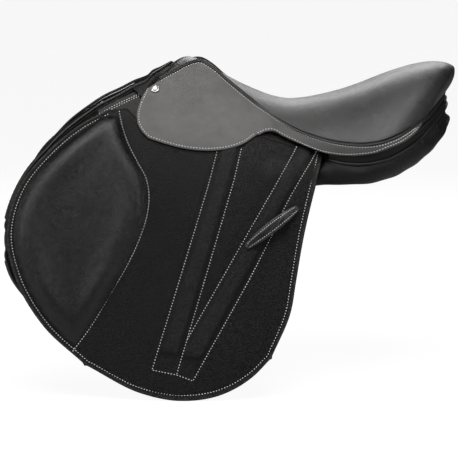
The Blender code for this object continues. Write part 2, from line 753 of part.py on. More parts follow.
def point_bottom():
    """How far below the stirrup bar the tree point meets the panel or the sweat flap."""
    at = bar_frame(RIGHT)
    skins = (panel_skin(RIGHT), sheet_skin(sweat_rows(), SWEAT_FACE, SWEAT_FLAP, RIGHT))
    below = [BVHTree.FromPolygons(points, faces) for points, faces in skins]
    bottom = POINT_LOWEST
    for _ in range(2 * SEARCH_STEPS):
        end = [at(POINT_FRONT + (POINT_REAR - POINT_FRONT) * t, bottom,
                  BAR_BACK + GAP + POINT_THICKNESS * share)
               for t in even(POINT_RIM[0]) for share in even(POINT_RIM[1])]
        bottom -= min(skin.find_nearest(p)[3] for skin in below for p in end) - POINT_ROOM
    return bottom


def build_bar(label, side):
    """The stirrup bar, its catch and the tree point that it is riveted to."""
    at = bar_frame(side)
    half = BAR_HEIGHT / 2
    inner = BAR_FINGER_FACE + BAR_FINGER
    slot_end = inner + LEATHER_SLOT
    lug = BAR_FINGER_FACE + CATCH_THICKNESS + GAP
    outline = [
        (BAR_FRONT + 0.004, BAR_FINGER_FACE), (FINGER_END, BAR_FINGER_FACE), (FINGER_END, lug),
        (CATCH_PIVOT + half, lug), (CATCH_PIVOT + half, inner), (BAR_FRONT + 0.010, inner),
        (BAR_FRONT + 0.0065, inner + 0.003), (BAR_FRONT + 0.0065, slot_end - 0.002),
        (BAR_FRONT + 0.0085, slot_end), (CATCH_PIVOT + 0.012, slot_end),
        (CATCH_PIVOT + 0.012, BAR_BACK), (BAR_FRONT, BAR_BACK), (BAR_FRONT, BAR_FINGER_FACE + 0.004),
    ]
    points, faces = prism(at, outline, -half, half)
    make("stirrup_bar_" + label, points, faces, "steel")

    pivot = at(CATCH_PIVOT, 0.0, BAR_FINGER_FACE)
    sections = []
    for depth in (BAR_FINGER_FACE, BAR_FINGER_FACE + CATCH_THICKNESS):
        ring = []
        for k in range(9):
            angle = math.pi / 2 + math.pi * k / 8
            ring.append(at(CATCH_PIVOT + (half - 0.0008) * math.cos(angle),
                           (half - 0.0008) * math.sin(angle), depth))
        ring.append(at(CATCH_PIVOT + CATCH_LENGTH - 0.003, -half + 0.0008, depth))
        ring.append(at(CATCH_PIVOT + CATCH_LENGTH, -half + 0.0038, depth))
        ring.append(at(CATCH_PIVOT + CATCH_LENGTH, half - 0.0038, depth))
        ring.append(at(CATCH_PIVOT + CATCH_LENGTH - 0.003, half - 0.0008, depth))
        sections.append(ring)
    points, faces = loft(sections)
    make("bar_catch_" + label, points, faces, "steel", pivot)

    face = BAR_BACK + GAP
    outline = [(POINT_FRONT, face), (POINT_REAR, face), (POINT_REAR, face + POINT_THICKNESS),
               (POINT_FRONT, face + POINT_THICKNESS)]
    points, faces = prism(at, outline, point_bottom(), POINT_TOP)
    make("tree_point_" + label, points, faces, "beech")


HEAD_PATH = ((-0.1500, 0.0000, 0.1340), (-0.1510, 0.0200, 0.1310), (-0.1530, 0.0360, 0.1210))
HEAD_FOOT = -0.008       # along the stirrup bar from its middle
HEAD_HALF_WIDTH = 0.0163
HEAD_THICKNESS = 0.009
HEAD_PLATE = 0.002


def build_head():
    """The head arch that joins the two tree points, and the steel plate under it."""
    at = bar_frame(RIGHT)
    run = HEAD_FOOT
    face = BAR_BACK + GAP
    half_path = list(HEAD_PATH) + [at(run, POINT_TOP + 0.012, face), at(run, POINT_TOP + GAP, face)]
    curve = smooth_curve(half_path)
    right = [curve(t) for t in even(9)]
    path = [Vector((p.x, -p.y, p.z)) for p in reversed(right[1:])] + right
    for name, first, last, slot in (("tree_head", 0.0, HEAD_THICKNESS, "beech"),
                                    ("head_plate", HEAD_THICKNESS + GAP,
                                     HEAD_THICKNESS + GAP + HEAD_PLATE, "steel")):
        sections = []
        for i, p in enumerate(path):
            step = path[min(i + 1, len(path) - 1)] - path[max(i - 1, 0)]
            out = Vector((0.0, -step.z, step.y)).normalized()
            fore = Vector((-HEAD_HALF_WIDTH, 0.0, 0.0))
            sections.append([p - out * first + fore, p - out * first - fore,
                             p - out * last - fore, p - out * last + fore])
        foot = [at(run - HEAD_HALF_WIDTH, POINT_TOP + GAP, face + first),
                at(run + HEAD_HALF_WIDTH, POINT_TOP + GAP, face + first),
                at(run + HEAD_HALF_WIDTH, POINT_TOP + GAP, face + last),
                at(run - HEAD_HALF_WIDTH, POINT_TOP + GAP, face + last)]
        sections[-1] = foot
        sections[0] = [Vector((p.x, -p.y, p.z)) for p in foot]
        if name == "head_plate":
            sections = sections[1:-1]
        points, faces = loft(sections)
        make(name, points, faces, slot)


# Panels, sweat flaps and girth straps

# x, inner y and z of the bearing face, outer y and z, thickness; where the outer y is None, the
# wall lies against the sweat flap
PANEL_STATIONS = (
    (-0.2320, 0.0540, 0.0640, 0.0800, 0.0200, 0.010),
    (-0.2200, 0.0440, 0.0720, 0.0920, -0.0050, 0.015),
    (-0.1850, 0.0390, 0.0700, None, -0.0320, 0.020),
    (-0.1300, 0.0350, 0.0540, None, -0.0420, 0.024),
    (-0.0650, 0.0335, 0.0380, None, -0.0400, 0.025),
    (0.0000, 0.0330, 0.0300, None, -0.0260, 0.025),
    (0.0300, 0.0330, 0.0290, None, -0.0200, 0.025),
    (0.0480, 0.0330, 0.0290, 0.1280, -0.0170, 0.024),
    (0.0680, 0.0330, 0.0290, 0.1400, -0.0150, 0.023),
    (0.1150, 0.0330, 0.0290, 0.1400, -0.0150, 0.023),
    (0.1450, 0.0330, 0.0370, 0.1330, -0.0060, 0.025),
    (0.1750, 0.0340, 0.0490, 0.1130, 0.0100, 0.026),
    (0.2000, 0.0370, 0.0620, 0.0930, 0.0300, 0.022),
    (0.2140, 0.0430, 0.0690, 0.0750, 0.0500, 0.015),
    (0.2200, 0.0520, 0.0720, 0.0660, 0.0620, 0.007),
)
PANEL_CORNER = 0.30      # share of the thickness that each rounded corner takes
PANEL_CROWN = 0.002      # how far the stuffed walls swell
PANEL_ROOM = 0.0006      # from the sweat flap's inner face, which is faceted, to the panel


def panel_ring(inner, outer, thickness):
    """A stuffed section in y, z: a flat bearing face, round corners and swelling walls."""
    across = (outer - inner).normalized()
    up = Vector((-across.y, across.x))
    width = (outer - inner).length
    corner = PANEL_CORNER * thickness
    ring = []
    for cx, cy, start in ((width - corner, corner, -90), (width - corner, thickness - corner, 0),
                          (corner, thickness - corner, 90), (corner, corner, 180)):
        for k in range(4):
            angle = math.radians(start + 30 * k)
            ring.append((cx + corner * math.cos(angle), cy + corner * math.sin(angle)))
        if start == -90:
            ring.append((width + PANEL_CROWN, thickness / 2))
        if start == 90:
            ring.append((-PANEL_CROWN, thickness / 2))
    return [inner + across * a + up * b for a, b in ring]


def panel_section(x, inner_y, inner_z, outer_y, outer_z, thickness, side):
    """The panel's section at a station, with its outer wall against the sweat flap if asked."""
    inner = Vector((inner_y, inner_z))
    reach = side_y(x, outer_z) - 2 * SWEAT_BACK if outer_y is None else outer_y
    ring = panel_ring(inner, Vector((reach, outer_z)), thickness)
    for _ in range(SEARCH_STEPS if outer_y is None else 0):
        reach += min(layer_y(x, p.y, SWEAT_BACK + PANEL_ROOM) - p.x for p in ring)
        ring = panel_ring(inner, Vector((reach, outer_z)), thickness)
    return [Vector((x, p.x * side, p.y)) for p in ring]


def panel_skin(side):
    """Points and faces of the panel on one side."""
    return loft([panel_section(*station, side) for station in PANEL_STATIONS])


def sweat_rows():
    """The sweat flap's rows."""
    return patch_rows(SWEAT_TOP, SWEAT_BOTTOM, SWEAT_FRONT, SWEAT_REAR, 13, 13)


def build_panel(label, side):
    """The stuffed panel and the sweat flap sewn to its edge."""
    points, faces = panel_skin(side)
    make("panel_" + label, points, faces, "soft_leather", smooth=50.0)
    side_sheet("sweat_flap_" + label, sweat_rows(), SWEAT_FACE, SWEAT_FLAP, side, "leather")


FACING_TOP = ((-0.2060, 0.1210), (-0.2280, 0.1110), (-0.2500, 0.1010), (-0.2700, 0.0900))
FACING_BOTTOM = ((-0.2100, 0.0700), (-0.2640, 0.0660))
FACING_FACE = FLAP_BACK + LAYER_GAP
FACING = 0.0025


def build_facing(label, side):
    """The stitched facing on the front of the panel, in the corner before the skirt."""
    front = (FACING_TOP[0], FACING_BOTTOM[0])
    rear = (FACING_TOP[-1], FACING_BOTTOM[-1])
    rows = patch_rows(FACING_TOP, FACING_BOTTOM, front, rear, 6, 4)
    side_sheet("front_facing_" + label, rows, FACING_FACE, FACING, side, "leather")


STRAP_WIDTH = 0.026
STRAP_END_DEPTH = 0.012  # length of the pointed end
# label, top and bottom of the strap's middle line as x, z, and half of the web above it
STRAPS = (
    ("front", (-0.1000, 0.0060), (-0.1745, -0.2380)),
    ("rear", (0.0060, 0.0100), (-0.1290, -0.2300)),
)
WEB_LENGTH = {"front": 0.063, "rear": 0.033}
WEB_LEAN = {"front": 0.008, "rear": -0.010}
WEB_RAMP = 0.5           # shares of the web between which it comes up to the flap's edge
WEB_RAMP_END = 0.9
WEB_ROWS = 8
STRAP_ROOM = 0.0009      # the strap's top corner turns inside this
STRAP_SHOULDER = 0.6     # share of the width that is left at the strap's top


def build_straps(label, side):
    """The girth straps, which hang from webs under the skirt."""
    for place, top, bottom in STRAPS:
        start, end = Vector(top), Vector(bottom)
        along = (end - start).normalized()
        across = Vector((-along.y, along.x)) * STRAP_WIDTH / 2
        across = across if across.x > 0 else -across
        rows = []
        length = (end - start).length
        for t in even(12):
            middle = start.lerp(end, t)
            share = STRAP_SHOULDER if t == 0.0 else 1.0
            rows.append([middle - across * share, middle, middle + across * share])
        tip = end + along * STRAP_END_DEPTH
        rows.append([tip - across * 0.5, tip, tip + across * 0.5])
        pivot = on_side(start.x, start.y, (STRAP_FACE + STRAP_BACK) / 2, side)
        side_sheet("girth_strap_" + place + "_" + label, rows, STRAP_FACE, STRAP, side,
                   "strap_leather", pivot)
        rows = []
        for t in even(WEB_ROWS):
            middle = start - along * (STRAP_ROOM + WEB_LENGTH[place] * t)
            middle.x += WEB_LEAN[place] * t
            share = STRAP_SHOULDER if t == 0.0 else 1.0
            rise = ease((t - WEB_RAMP) / (WEB_RAMP_END - WEB_RAMP))
            face = STRAP_FACE + (WEB_FACE - STRAP_FACE) * rise
            rows.append((face, [middle - across * share, middle, middle + across * share]))
        outer = [[on_side(p.x, p.y, face, side) for p in row] for face, row in reversed(rows)]
        inner = [[on_side(p.x, p.y, face + STRAP, side) for p in row]
                 for face, row in reversed(rows)]
        points, faces = shell(outer, inner)
        make("girth_web_" + place + "_" + label, points, faces, "webbing")


BAND_TOP = ((0.0450, 0.1330, 0.0280), (0.0600, 0.1410, 0.0260), (0.0890, 0.1490, 0.0260),
            (0.1250, 0.1515, 0.0350), (0.1500, 0.1410, 0.0470), (0.1750, 0.1190, 0.0610),
            (0.1950, 0.0930, 0.0740), (0.2120, 0.0620, 0.0880), (0.2220, 0.0300, 0.0960),
            (0.2250, 0.0000, 0.0980))
BAND_BOTTOM = ((0.0450, 0.1290, 0.0180), (0.0600, 0.1380, 0.0145), (0.0890, 0.1460, 0.0130),
               (0.1250, 0.1480, 0.0200), (0.1500, 0.1380, 0.0320), (0.1750, 0.1170, 0.0470),
               (0.1950, 0.0930, 0.0630), (0.2120, 0.0630, 0.0780), (0.2225, 0.0300, 0.0870),
               (0.2255, 0.0000, 0.0890))
BAND = 0.003


def build_band():
    """The leather band that closes the tree's edge below the strip, round the cantle."""
    right_top, right_bottom = curve_run(BAND_TOP, 15), curve_run(BAND_BOTTOM, 15)
    rows = []
    for line in (right_top, right_bottom):
        left = [Vector((p.x, -p.y, p.z)) for p in line[:-1]]
        rows.append(left + list(reversed(line)))
    outer, inner = [], []
    for i, row in enumerate(rows):
        out, inside = [], []
        for j, p in enumerate(row):
            along = row[min(j + 1, len(row) - 1)] - row[max(j - 1, 0)]
            normal = Vector((along.y, -along.x, 0.0)).normalized()
            if normal.dot(Vector((p.x - 0.05, p.y, 0.0))) < 0:
                normal = -normal
            out.append(p)
            inside.append(p - normal * BAND)
        outer.append(out)
        inner.append(inside)
    points, faces = shell(outer, inner)
    make("cantle_band", points, faces, "soft_leather")


def main():
    """The whole saddle."""
    for existing in list(bpy.data.objects):
        bpy.data.objects.remove(existing, do_unlink=True)
    build_seat()
    build_head()
    build_band()
    for label, side in SIDES:
        build_skirt(label, side)
        build_flap(label, side)
        build_flap_head(label, side)
        build_bar(label, side)
        build_panel(label, side)
        build_straps(label, side)
        build_facing(label, side)


main()
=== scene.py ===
"""The looks of the jumping saddle: leathers, padding, stitching, hardware, studio and camera.

Lengths are in metres in the part's own frame: +X to the cantle, the near side is -Y, +Z is up.
Outlines are written once, for a positive y, and used with a side of -1 (left) or +1 (right).
"""

import math

import bpy
import numpy as np
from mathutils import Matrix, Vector


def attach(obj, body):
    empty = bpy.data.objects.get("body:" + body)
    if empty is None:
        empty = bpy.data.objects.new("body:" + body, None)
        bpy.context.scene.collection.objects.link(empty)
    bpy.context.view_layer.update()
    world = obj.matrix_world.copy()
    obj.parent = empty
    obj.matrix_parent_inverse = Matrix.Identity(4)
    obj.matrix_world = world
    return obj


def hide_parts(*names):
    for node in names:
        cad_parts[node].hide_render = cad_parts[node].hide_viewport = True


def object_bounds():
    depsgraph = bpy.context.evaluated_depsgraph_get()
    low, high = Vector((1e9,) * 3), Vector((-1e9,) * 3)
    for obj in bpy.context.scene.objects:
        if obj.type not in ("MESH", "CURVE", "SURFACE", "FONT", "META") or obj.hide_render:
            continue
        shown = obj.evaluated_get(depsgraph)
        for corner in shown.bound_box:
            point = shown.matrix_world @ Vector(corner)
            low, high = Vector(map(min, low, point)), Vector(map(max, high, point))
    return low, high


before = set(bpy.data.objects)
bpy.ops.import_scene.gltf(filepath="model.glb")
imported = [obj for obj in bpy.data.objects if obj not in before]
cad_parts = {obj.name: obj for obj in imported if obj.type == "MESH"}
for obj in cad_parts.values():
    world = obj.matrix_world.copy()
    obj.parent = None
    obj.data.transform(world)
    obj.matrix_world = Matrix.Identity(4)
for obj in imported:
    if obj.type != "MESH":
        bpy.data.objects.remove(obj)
cad_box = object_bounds()
LEFT, RIGHT = -1, 1
SIDES = (("left", LEFT), ("right", RIGHT))

# Depths below the outer face of the skirt
SKIRT = 0.003
FLAP_FACE, FLAP_BACK = 0.004, 0.008
STRAP_FACE, STRAP_BACK = 0.0106, 0.0151
SWEAT_FACE, SWEAT_BACK = 0.0177, 0.0212
SHEET_ROOM = 0.0002      # from a solid's face to the sheet shown in its place
HINGE_FRONT = np.array((-0.2153, 0.0950, 0.0989))
HINGE_REAR = np.array((0.0358, 0.1250, 0.0267))
HINGE_GAP = 0.00008      # from the bend to the edges of the leathers that meet on it

# Shape of the side below the bend
FRONT_FLARE, REAR_TUCK, FLARE_DEPTH = 0.018, 0.010, 0.120
FLARE_START, FLARE_RUN = -0.2, 0.2
TUCK_START, TUCK_RUN = -0.12, 0.15
SHOULDER_WIDTH, SHOULDER_DEPTH = 0.035, 0.050
SIDE_SLOPE = 0.200       # outward lean of the straight lower side


# Curves and grids

def unit(vectors):
    """Vectors of length 1, or none where there is no length."""
    return vectors / np.maximum(np.linalg.norm(vectors, axis=-1, keepdims=True), 1e-12)


def distances(points):
    """How far along a polyline each of its points lies."""
    return np.concatenate(([0.0], np.cumsum(np.linalg.norm(np.diff(points, axis=0), axis=1))))


def interpolated(t, knots, values):
    """Rows of values at t, where the knots give each row's place."""
    return np.stack([np.interp(t, knots, column) for column in values.T], -1)


def cubic(start, end, leaving, arriving, u):
    """A cubic from start to end, with its rates at both, at shares u of the way."""
    return (start * (2 * u**3 - 3 * u**2 + 1) + leaving * (u**3 - 2 * u**2 + u)
            + end * (3 * u**2 - 2 * u**3) + arriving * (u**3 - u**2))


def smooth(points):
    """A function of 0..1, or of an array of them, along a smooth curve through the points."""
    places = np.array(points, float)
    spans = np.linalg.norm(np.diff(places, axis=0), axis=1)
    knots = distances(places)
    rates = np.diff(places, axis=0) / spans[:, None]
    share = (spans[:-1] / (spans[:-1] + spans[1:]))[:, None]
    slopes = np.concatenate((rates[:1], rates[:-1] * (1 - share) + rates[1:] * share, rates[-1:]))

    def at(t):
        s = np.clip(np.asarray(t, float), 0.0, 1.0) * knots[-1]
        i = np.clip(np.searchsorted(knots, s, side="left") - 1, 0, len(spans) - 1)
        u = ((s - knots[i]) / spans[i])[..., None]
        span = spans[i][..., None]
        return cubic(places[i], places[i + 1], slopes[i] * span, slopes[i + 1] * span, u)

    return at


def straight(points):
    """A function of 0..1 along straight runs, and the shares at which its corners lie."""
    knots = distances(points)
    shares = knots / knots[-1]

    def at(t):
        return interpolated(t, shares, np.array(points))

    return at, shares


def filled(shares, step):
    """Shares that keep the given ones and add others at most a step apart."""
    result = [shares[0]]
    for a, b in zip(shares, shares[1:]):
        parts = max(1, math.ceil((b - a) / step))
        result += [a + (b - a) * (k + 1) / parts for k in range(parts)]
    return np.array(result)


def even(count):
    """Even shares from 0 to 1."""
    return np.linspace(0.0, 1.0, count)


def coons(top, bottom, front, rear, across, down):
    """A grid of points that fills the space between four edge curves."""
    s, t = across[None, :, None], down[:, None, None]
    a, b, c, d = top(0.0), top(1.0), bottom(0.0), bottom(1.0)
    spread = (top(across)[None] * (1 - t) + bottom(across)[None] * t
              + front(down)[:, None] * (1 - s) + rear(down)[:, None] * s)
    return spread - ((a * (1 - s) + b * s) * (1 - t) + (c * (1 - s) + d * s) * t)


def ease(t):
    """0 up to t = 0 and 1 from t = 1 on, with a soft rise between them."""
    t = np.clip(t, 0.0, 1.0)
    return t * t * (3 - 2 * t)


def bell(distance, width):
    """1 at no distance, falling off to nothing over a few widths."""
    return np.exp(-(distance / width)**2)


def ruled(first, second, count):
    """Straight rows from one line of points to another, and each row's share of the way."""
    rows = even(count)[:, None, None]
    return first[None] * (1 - rows) + second[None] * rows, rows


def turned_away(vectors, points, centre):
    """The vectors, each turned over if it points towards a centre."""
    return np.where((np.sum(vectors * (points - centre), -1) < 0)[..., None], -vectors, vectors)


def resample(points, step):
    """Points at equal steps along a dense polyline."""
    knots = distances(points)
    count = int(round(knots[-1] / step)) + 1
    return interpolated(np.linspace(0.0, knots[-1], count), knots, points)


def inset(points, distance):
    """A flat polyline moved sideways, to the left of its direction."""
    along = unit(np.gradient(points, axis=0))
    return points + np.stack((-along[:, 1], along[:, 0]), -1) * distance


def nearness(places, line):
    """Distance from each place of a grid to a dense flat polyline."""
    flat = places.reshape(-1, 2)
    best = np.full(len(flat), 9.0)
    for p in line:
        best = np.minimum(best, (flat[:, 0] - p[0])**2 + (flat[:, 1] - p[1])**2)
    return np.sqrt(best).reshape(places.shape[:-1])


# The side of the saddle

def hinge_share(x):
    return (x - HINGE_FRONT[0]) / (HINGE_REAR[0] - HINGE_FRONT[0])


def hinge_z(x):
    return HINGE_FRONT[2] + hinge_share(x) * (HINGE_REAR[2] - HINGE_FRONT[2])


def side_y(x, z):
    """Distance of the outer side face from the centre plane."""
    drop = hinge_z(x) - z
    flare = FRONT_FLARE * np.clip((FLARE_START - x) / FLARE_RUN, 0.0, 1.0)**2
    tuck = REAR_TUCK * np.clip((x - TUCK_START) / TUCK_RUN, 0.0, 1.0)**2
    hinge_y = HINGE_FRONT[1] + hinge_share(x) * (HINGE_REAR[1] - HINGE_FRONT[1])
    shoulder = SHOULDER_WIDTH * (1.0 - np.exp(-drop / SHOULDER_DEPTH))
    return hinge_y + shoulder + SIDE_SLOPE * drop + (flare - tuck) * ease(drop / FLARE_DEPTH)


def side_normal(x, z):
    step = 0.0005
    along = (side_y(x + step, z) - side_y(x - step, z)) / (2 * step)
    up = (side_y(x, z + step) - side_y(x, z - step)) / (2 * step)
    return unit(np.stack((-along, np.ones_like(along), -up), -1))


def mirror(side):
    """What a right-hand point is multiplied by for this side."""
    return np.array((1.0, side, 1.0))


def on_side(places, depth, side):
    """Points at a depth below the side face, from x, z places."""
    x, z = places[..., 0], places[..., 1]
    depth = np.broadcast_to(np.asarray(depth, float), x.shape)[..., None]
    points = np.stack((x, side_y(x, z), z), -1) - side_normal(x, z) * depth
    return points * mirror(side)


# Objects

def linked(name, data):
    """A new object in the scene."""
    obj = bpy.data.objects.new(name, data)
    bpy.context.scene.collection.objects.link(obj)
    return obj


def made(name, points, faces, material, body, replaces=(), slot="leather"):
    """One smooth-shaded object that rides on a body."""
    mesh = bpy.data.meshes.new(name)
    mesh.from_pydata(points.tolist(), [], faces)
    mesh.validate()
    mesh.shade_smooth()
    mesh.materials.append(MAT[material])
    obj = linked(name, mesh)
    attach(obj, body)
    if replaces:
        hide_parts(*replaces)
    return obj


def oriented(points, faces):
    """Faces turned so that a closed skin's volume is positive."""
    corners = np.array([(f[0], f[j], f[j + 1]) for f in faces for j in range(1, len(f) - 1)])
    a, b, c = (points[corners[:, k]] for k in range(3))
    volume = float(np.sum(a * np.cross(b, c)))
    return faces if volume > 0 else [tuple(reversed(f)) for f in faces]


def grid_normals(grid):
    """Unit normals of a grid of points, by central differences."""
    return unit(np.cross(np.gradient(grid, axis=1), np.gradient(grid, axis=0)))


def rim_order(rows, columns):
    """Indices round a grid's edge, and for each whether it lies top, rear, bottom or front."""
    order = [(0, j, "top") for j in range(columns)]
    order += [(i, columns - 1, "rear") for i in range(1, rows)]
    order += [(rows - 1, j, "bottom") for j in range(columns - 2, -1, -1)]
    order += [(i, 0, "front") for i in range(rows - 2, 0, -1)]
    return order


CUT_STEPS = 3            # points round a cut edge, between its two faces


def sheet_mesh(outer, inner, bulge, square=()):
    """A closed leather with a rounded cut edge between two grids."""
    rows, columns = outer.shape[:2]
    size = rows * columns
    points = [outer.reshape(-1, 3), inner.reshape(-1, 3)]
    index = np.arange(size).reshape(rows, columns)
    quads = np.stack((index[:-1, :-1], index[:-1, 1:], index[1:, 1:], index[1:, :-1]), -1)
    quads = quads.reshape(-1, 4)
    faces = [tuple(q) for q in quads] + [tuple(q[::-1] + size) for q in quads]
    rim = rim_order(rows, columns)
    middle = (outer + inner) / 2
    out_rows, out_cols = np.gradient(middle, axis=0), np.gradient(middle, axis=1)
    ring_points = []
    for i, j, where in rim:
        away = {"top": -out_rows[i, j], "bottom": out_rows[i, j],
                "rear": out_cols[i, j], "front": -out_cols[i, j]}[where]
        if i in (0, rows - 1) and j in (0, columns - 1):
            away = (unit(out_rows[i, j]) * (-1 if i == 0 else 1)
                    + unit(out_cols[i, j]) * (-1 if j == 0 else 1))
        thick = outer[i, j] - inner[i, j]
        length = np.linalg.norm(thick)
        if length > 1e-9:
            away = away - thick * np.dot(away, thick) / length**2
        away = unit(away)
        round_by = bulge(i, j, where) if callable(bulge) else bulge
        reach = 0.0 if where in square else round_by * length
        for k in range(1, CUT_STEPS + 1):
            angle = math.pi * k / (CUT_STEPS + 1)
            ring_points.append(middle[i, j] + thick / 2 * math.cos(angle)
                               + away * reach * math.sin(angle))
    points.append(np.array(ring_points))
    edges = []
    for n, (i, j, _) in enumerate(rim):
        first = i * columns + j
        start = 2 * size + n * CUT_STEPS
        edges.append([first, *range(start, start + CUT_STEPS), first + size])
    for a, b in zip(edges, edges[1:] + edges[:1]):
        faces += [(a[k], a[k + 1], b[k + 1], b[k]) for k in range(CUT_STEPS + 1)]
    return np.concatenate(points), faces


def sheet(name, outer, inner, material, body, replaces=(), slot="leather", bulge=0.45, square=()):
    """A leather between two grids of points."""
    points, faces = sheet_mesh(outer, inner, bulge, square)
    return made(name, points, oriented(points, faces), material, body, replaces, slot)


def side_sheet(name, grid, face, back, side, material, body, *rest, **cut):
    """A leather that follows the side of the saddle between two depths."""
    return sheet(name, on_side(grid, face, side), on_side(grid, back, side), material, body,
                 *rest, **cut)


def circle(first, second, sides):
    """Points round a unit circle in the plane of two directions, or of each pair of them."""
    angles = (2 * math.pi * np.arange(sides) / sides)[:, None]
    return first[..., None, :] * np.cos(angles) + second[..., None, :] * np.sin(angles)


def ring_faces(rows, sides):
    """Faces of a skin round a row of closed rings, with closed ends."""
    faces = []
    for i in range(rows - 1):
        for k in range(sides):
            m = (k + 1) % sides
            faces.append((i * sides + k, i * sides + m, (i + 1) * sides + m, (i + 1) * sides + k))
    faces.append(tuple(range(sides - 1, -1, -1)))
    faces.append(tuple(range((rows - 1) * sides, rows * sides)))
    return faces


BEAD_SIDES = 14


def tube(path, radius, out, taper):
    """A round bead along a path, which starts its rings nearest to out and thins at both ends."""
    along = unit(np.gradient(path, axis=0))
    first = unit(out - along * np.sum(out * along, axis=1)[:, None])
    ends = even(len(path))
    radii = radius * np.clip(np.minimum(ends, 1 - ends) / taper, 0.05, 1.0)**0.5
    ring = circle(first, np.cross(along, first), BEAD_SIDES)
    points = path[:, None] + ring * radii[:, None, None]
    return points.reshape(-1, 3), ring_faces(len(path), BEAD_SIDES)


def joined(parts):
    """Several points-and-faces pairs as one."""
    faces, base = [], 0
    for points, shape in parts:
        faces += [tuple(i + base for i in f) for f in shape]
        base += len(points)
    return np.concatenate([points for points, _ in parts]), faces


STITCH_PITCH, STITCH_LENGTH, STITCH_RADIUS = 0.0040, 0.0020, 0.00062
STITCH_SIDES = 6
# Five places along a stitch: shares of its length, then of its radius
STITCH_ALONG = np.array((-0.5, -0.34, 0.0, 0.34, 0.5))
STITCH_LIFT = np.array((-0.9, 0.25, 0.55, 0.25, -0.9))
STITCH_WIDTH = np.array((0.55, 0.95, 1.0, 0.95, 0.55))


def stitches(path, normals, pitch=STITCH_PITCH, length=STITCH_LENGTH, radius=STITCH_RADIUS):
    """A row of stitches: short threads that dip into the leather at both ends."""
    steps = distances(path)
    count = int(steps[-1] / pitch)
    middles = (np.arange(count) + 0.5) * steps[-1] / count
    # the rings run the other way round here, so each face keeps its first corner and turns over
    one = [face[:1] + face[:0:-1] for face in ring_faces(len(STITCH_ALONG), STITCH_SIDES)]
    parts = []
    for middle in middles:
        s = np.clip(middle + STITCH_ALONG * length, 0.0, steps[-1])
        spine = interpolated(s, steps, path)
        normal = unit(interpolated(middle, steps, normals))
        across = np.cross(unit(spine[-1] - spine[0]), normal)
        spine = spine + normal * (STITCH_LIFT * radius)[:, None]
        ring = circle(normal, across, STITCH_SIDES)
        points = spine[:, None] + ring * (STITCH_WIDTH * radius)[:, None, None]
        parts.append((points.reshape(-1, 3), one))
    return joined(parts)


def sewn(name, rows, body, thread="thread"):
    """Rows of stitches as one object."""
    return made(name, *joined(rows), thread, body)


# Materials

class Nodes:
    """A small builder of one material's nodes."""

    def __init__(self, name):
        self.material = bpy.data.materials.new(name)
        self.material.use_nodes = True
        self.tree = self.material.node_tree
        self.shader = self.tree.nodes["Principled BSDF"]
        self.place = self.add("TexCoord", "Object")

    def feed(self, socket, value):
        """Gives an input a number, a colour or another node's output."""
        if isinstance(value, bpy.types.NodeSocket):
            self.tree.links.new(value, socket)
        elif socket.type == "RGBA":
            socket.default_value = value + (1.0,)
        else:
            socket.default_value = value

    def add(self, kind, output, inputs=(), **settings):
        """One output of a new node with these inputs and settings."""
        node = self.tree.nodes.new("ShaderNode" + kind)
        for key, value in settings.items():
            setattr(node, key, value)
        for key, value in dict(inputs).items():
            self.feed(node.inputs[key], value)
        return node.outputs[output]

    def set(self, **values):
        """Sets the shader's inputs, with _ for a space in their names."""
        for key, value in values.items():
            self.feed(self.shader.inputs[key.replace("_", " ")], value)
        return self.material

    def noise(self, scale, detail=4.0, roughness=0.55, stretch=None):
        place = self.place
        if stretch:
            place = self.add("Mapping", "Vector", {"Vector": place, "Scale": stretch})
        return self.add("TexNoise", "Fac", {"Vector": place, "Scale": scale, "Detail": detail,
                                            "Roughness": roughness})

    def wave(self, direction, scale, distortion):
        inputs = {"Vector": self.place, "Scale": scale, "Distortion": distortion}
        return self.add("TexWave", "Fac", inputs, wave_type="BANDS", bands_direction=direction)

    def pebbles(self, size):
        """Small closed cells, high in the middle and low in the creases between them."""
        inputs = {"Vector": self.place, "Scale": 1.0 / size, "Randomness": 0.9}
        cells = self.add("TexVoronoi", "Distance", inputs, feature="DISTANCE_TO_EDGE")
        return self.span(cells, 0.0, 0.22, 0.0, 1.0)

    def span(self, value, low, high, start, end):
        return self.add("MapRange", "Result", {"Value": value, "From Min": low, "From Max": high,
                                               "To Min": start, "To Max": end})

    def sum(self, first, second, share):
        """The first value plus a share of the second."""
        return self.add("Math", "Value", {0: second, 1: share, 2: first},
                        operation="MULTIPLY_ADD")

    def product(self, first, second):
        return self.add("Math", "Value", {0: first, 1: second}, operation="MULTIPLY")

    def mix(self, share, first, second):
        """A blend of two colours; each may be a colour or an output."""
        return self.add("Mix", 2, {0: share, 6: first, 7: second}, data_type="RGBA")

    def bump(self, height, strength, distance, below=None):
        inputs = {"Height": height, "Strength": strength, "Distance": distance}
        if below is not None:
            inputs["Normal"] = below
        return self.add("Bump", "Normal", inputs)


WORN = (0.10, 0.092, 0.086)
# colour of the painted shade that darkens a leather along x
PAINTED_SHADE_COLOUR = (0.006, 0.006, 0.006)


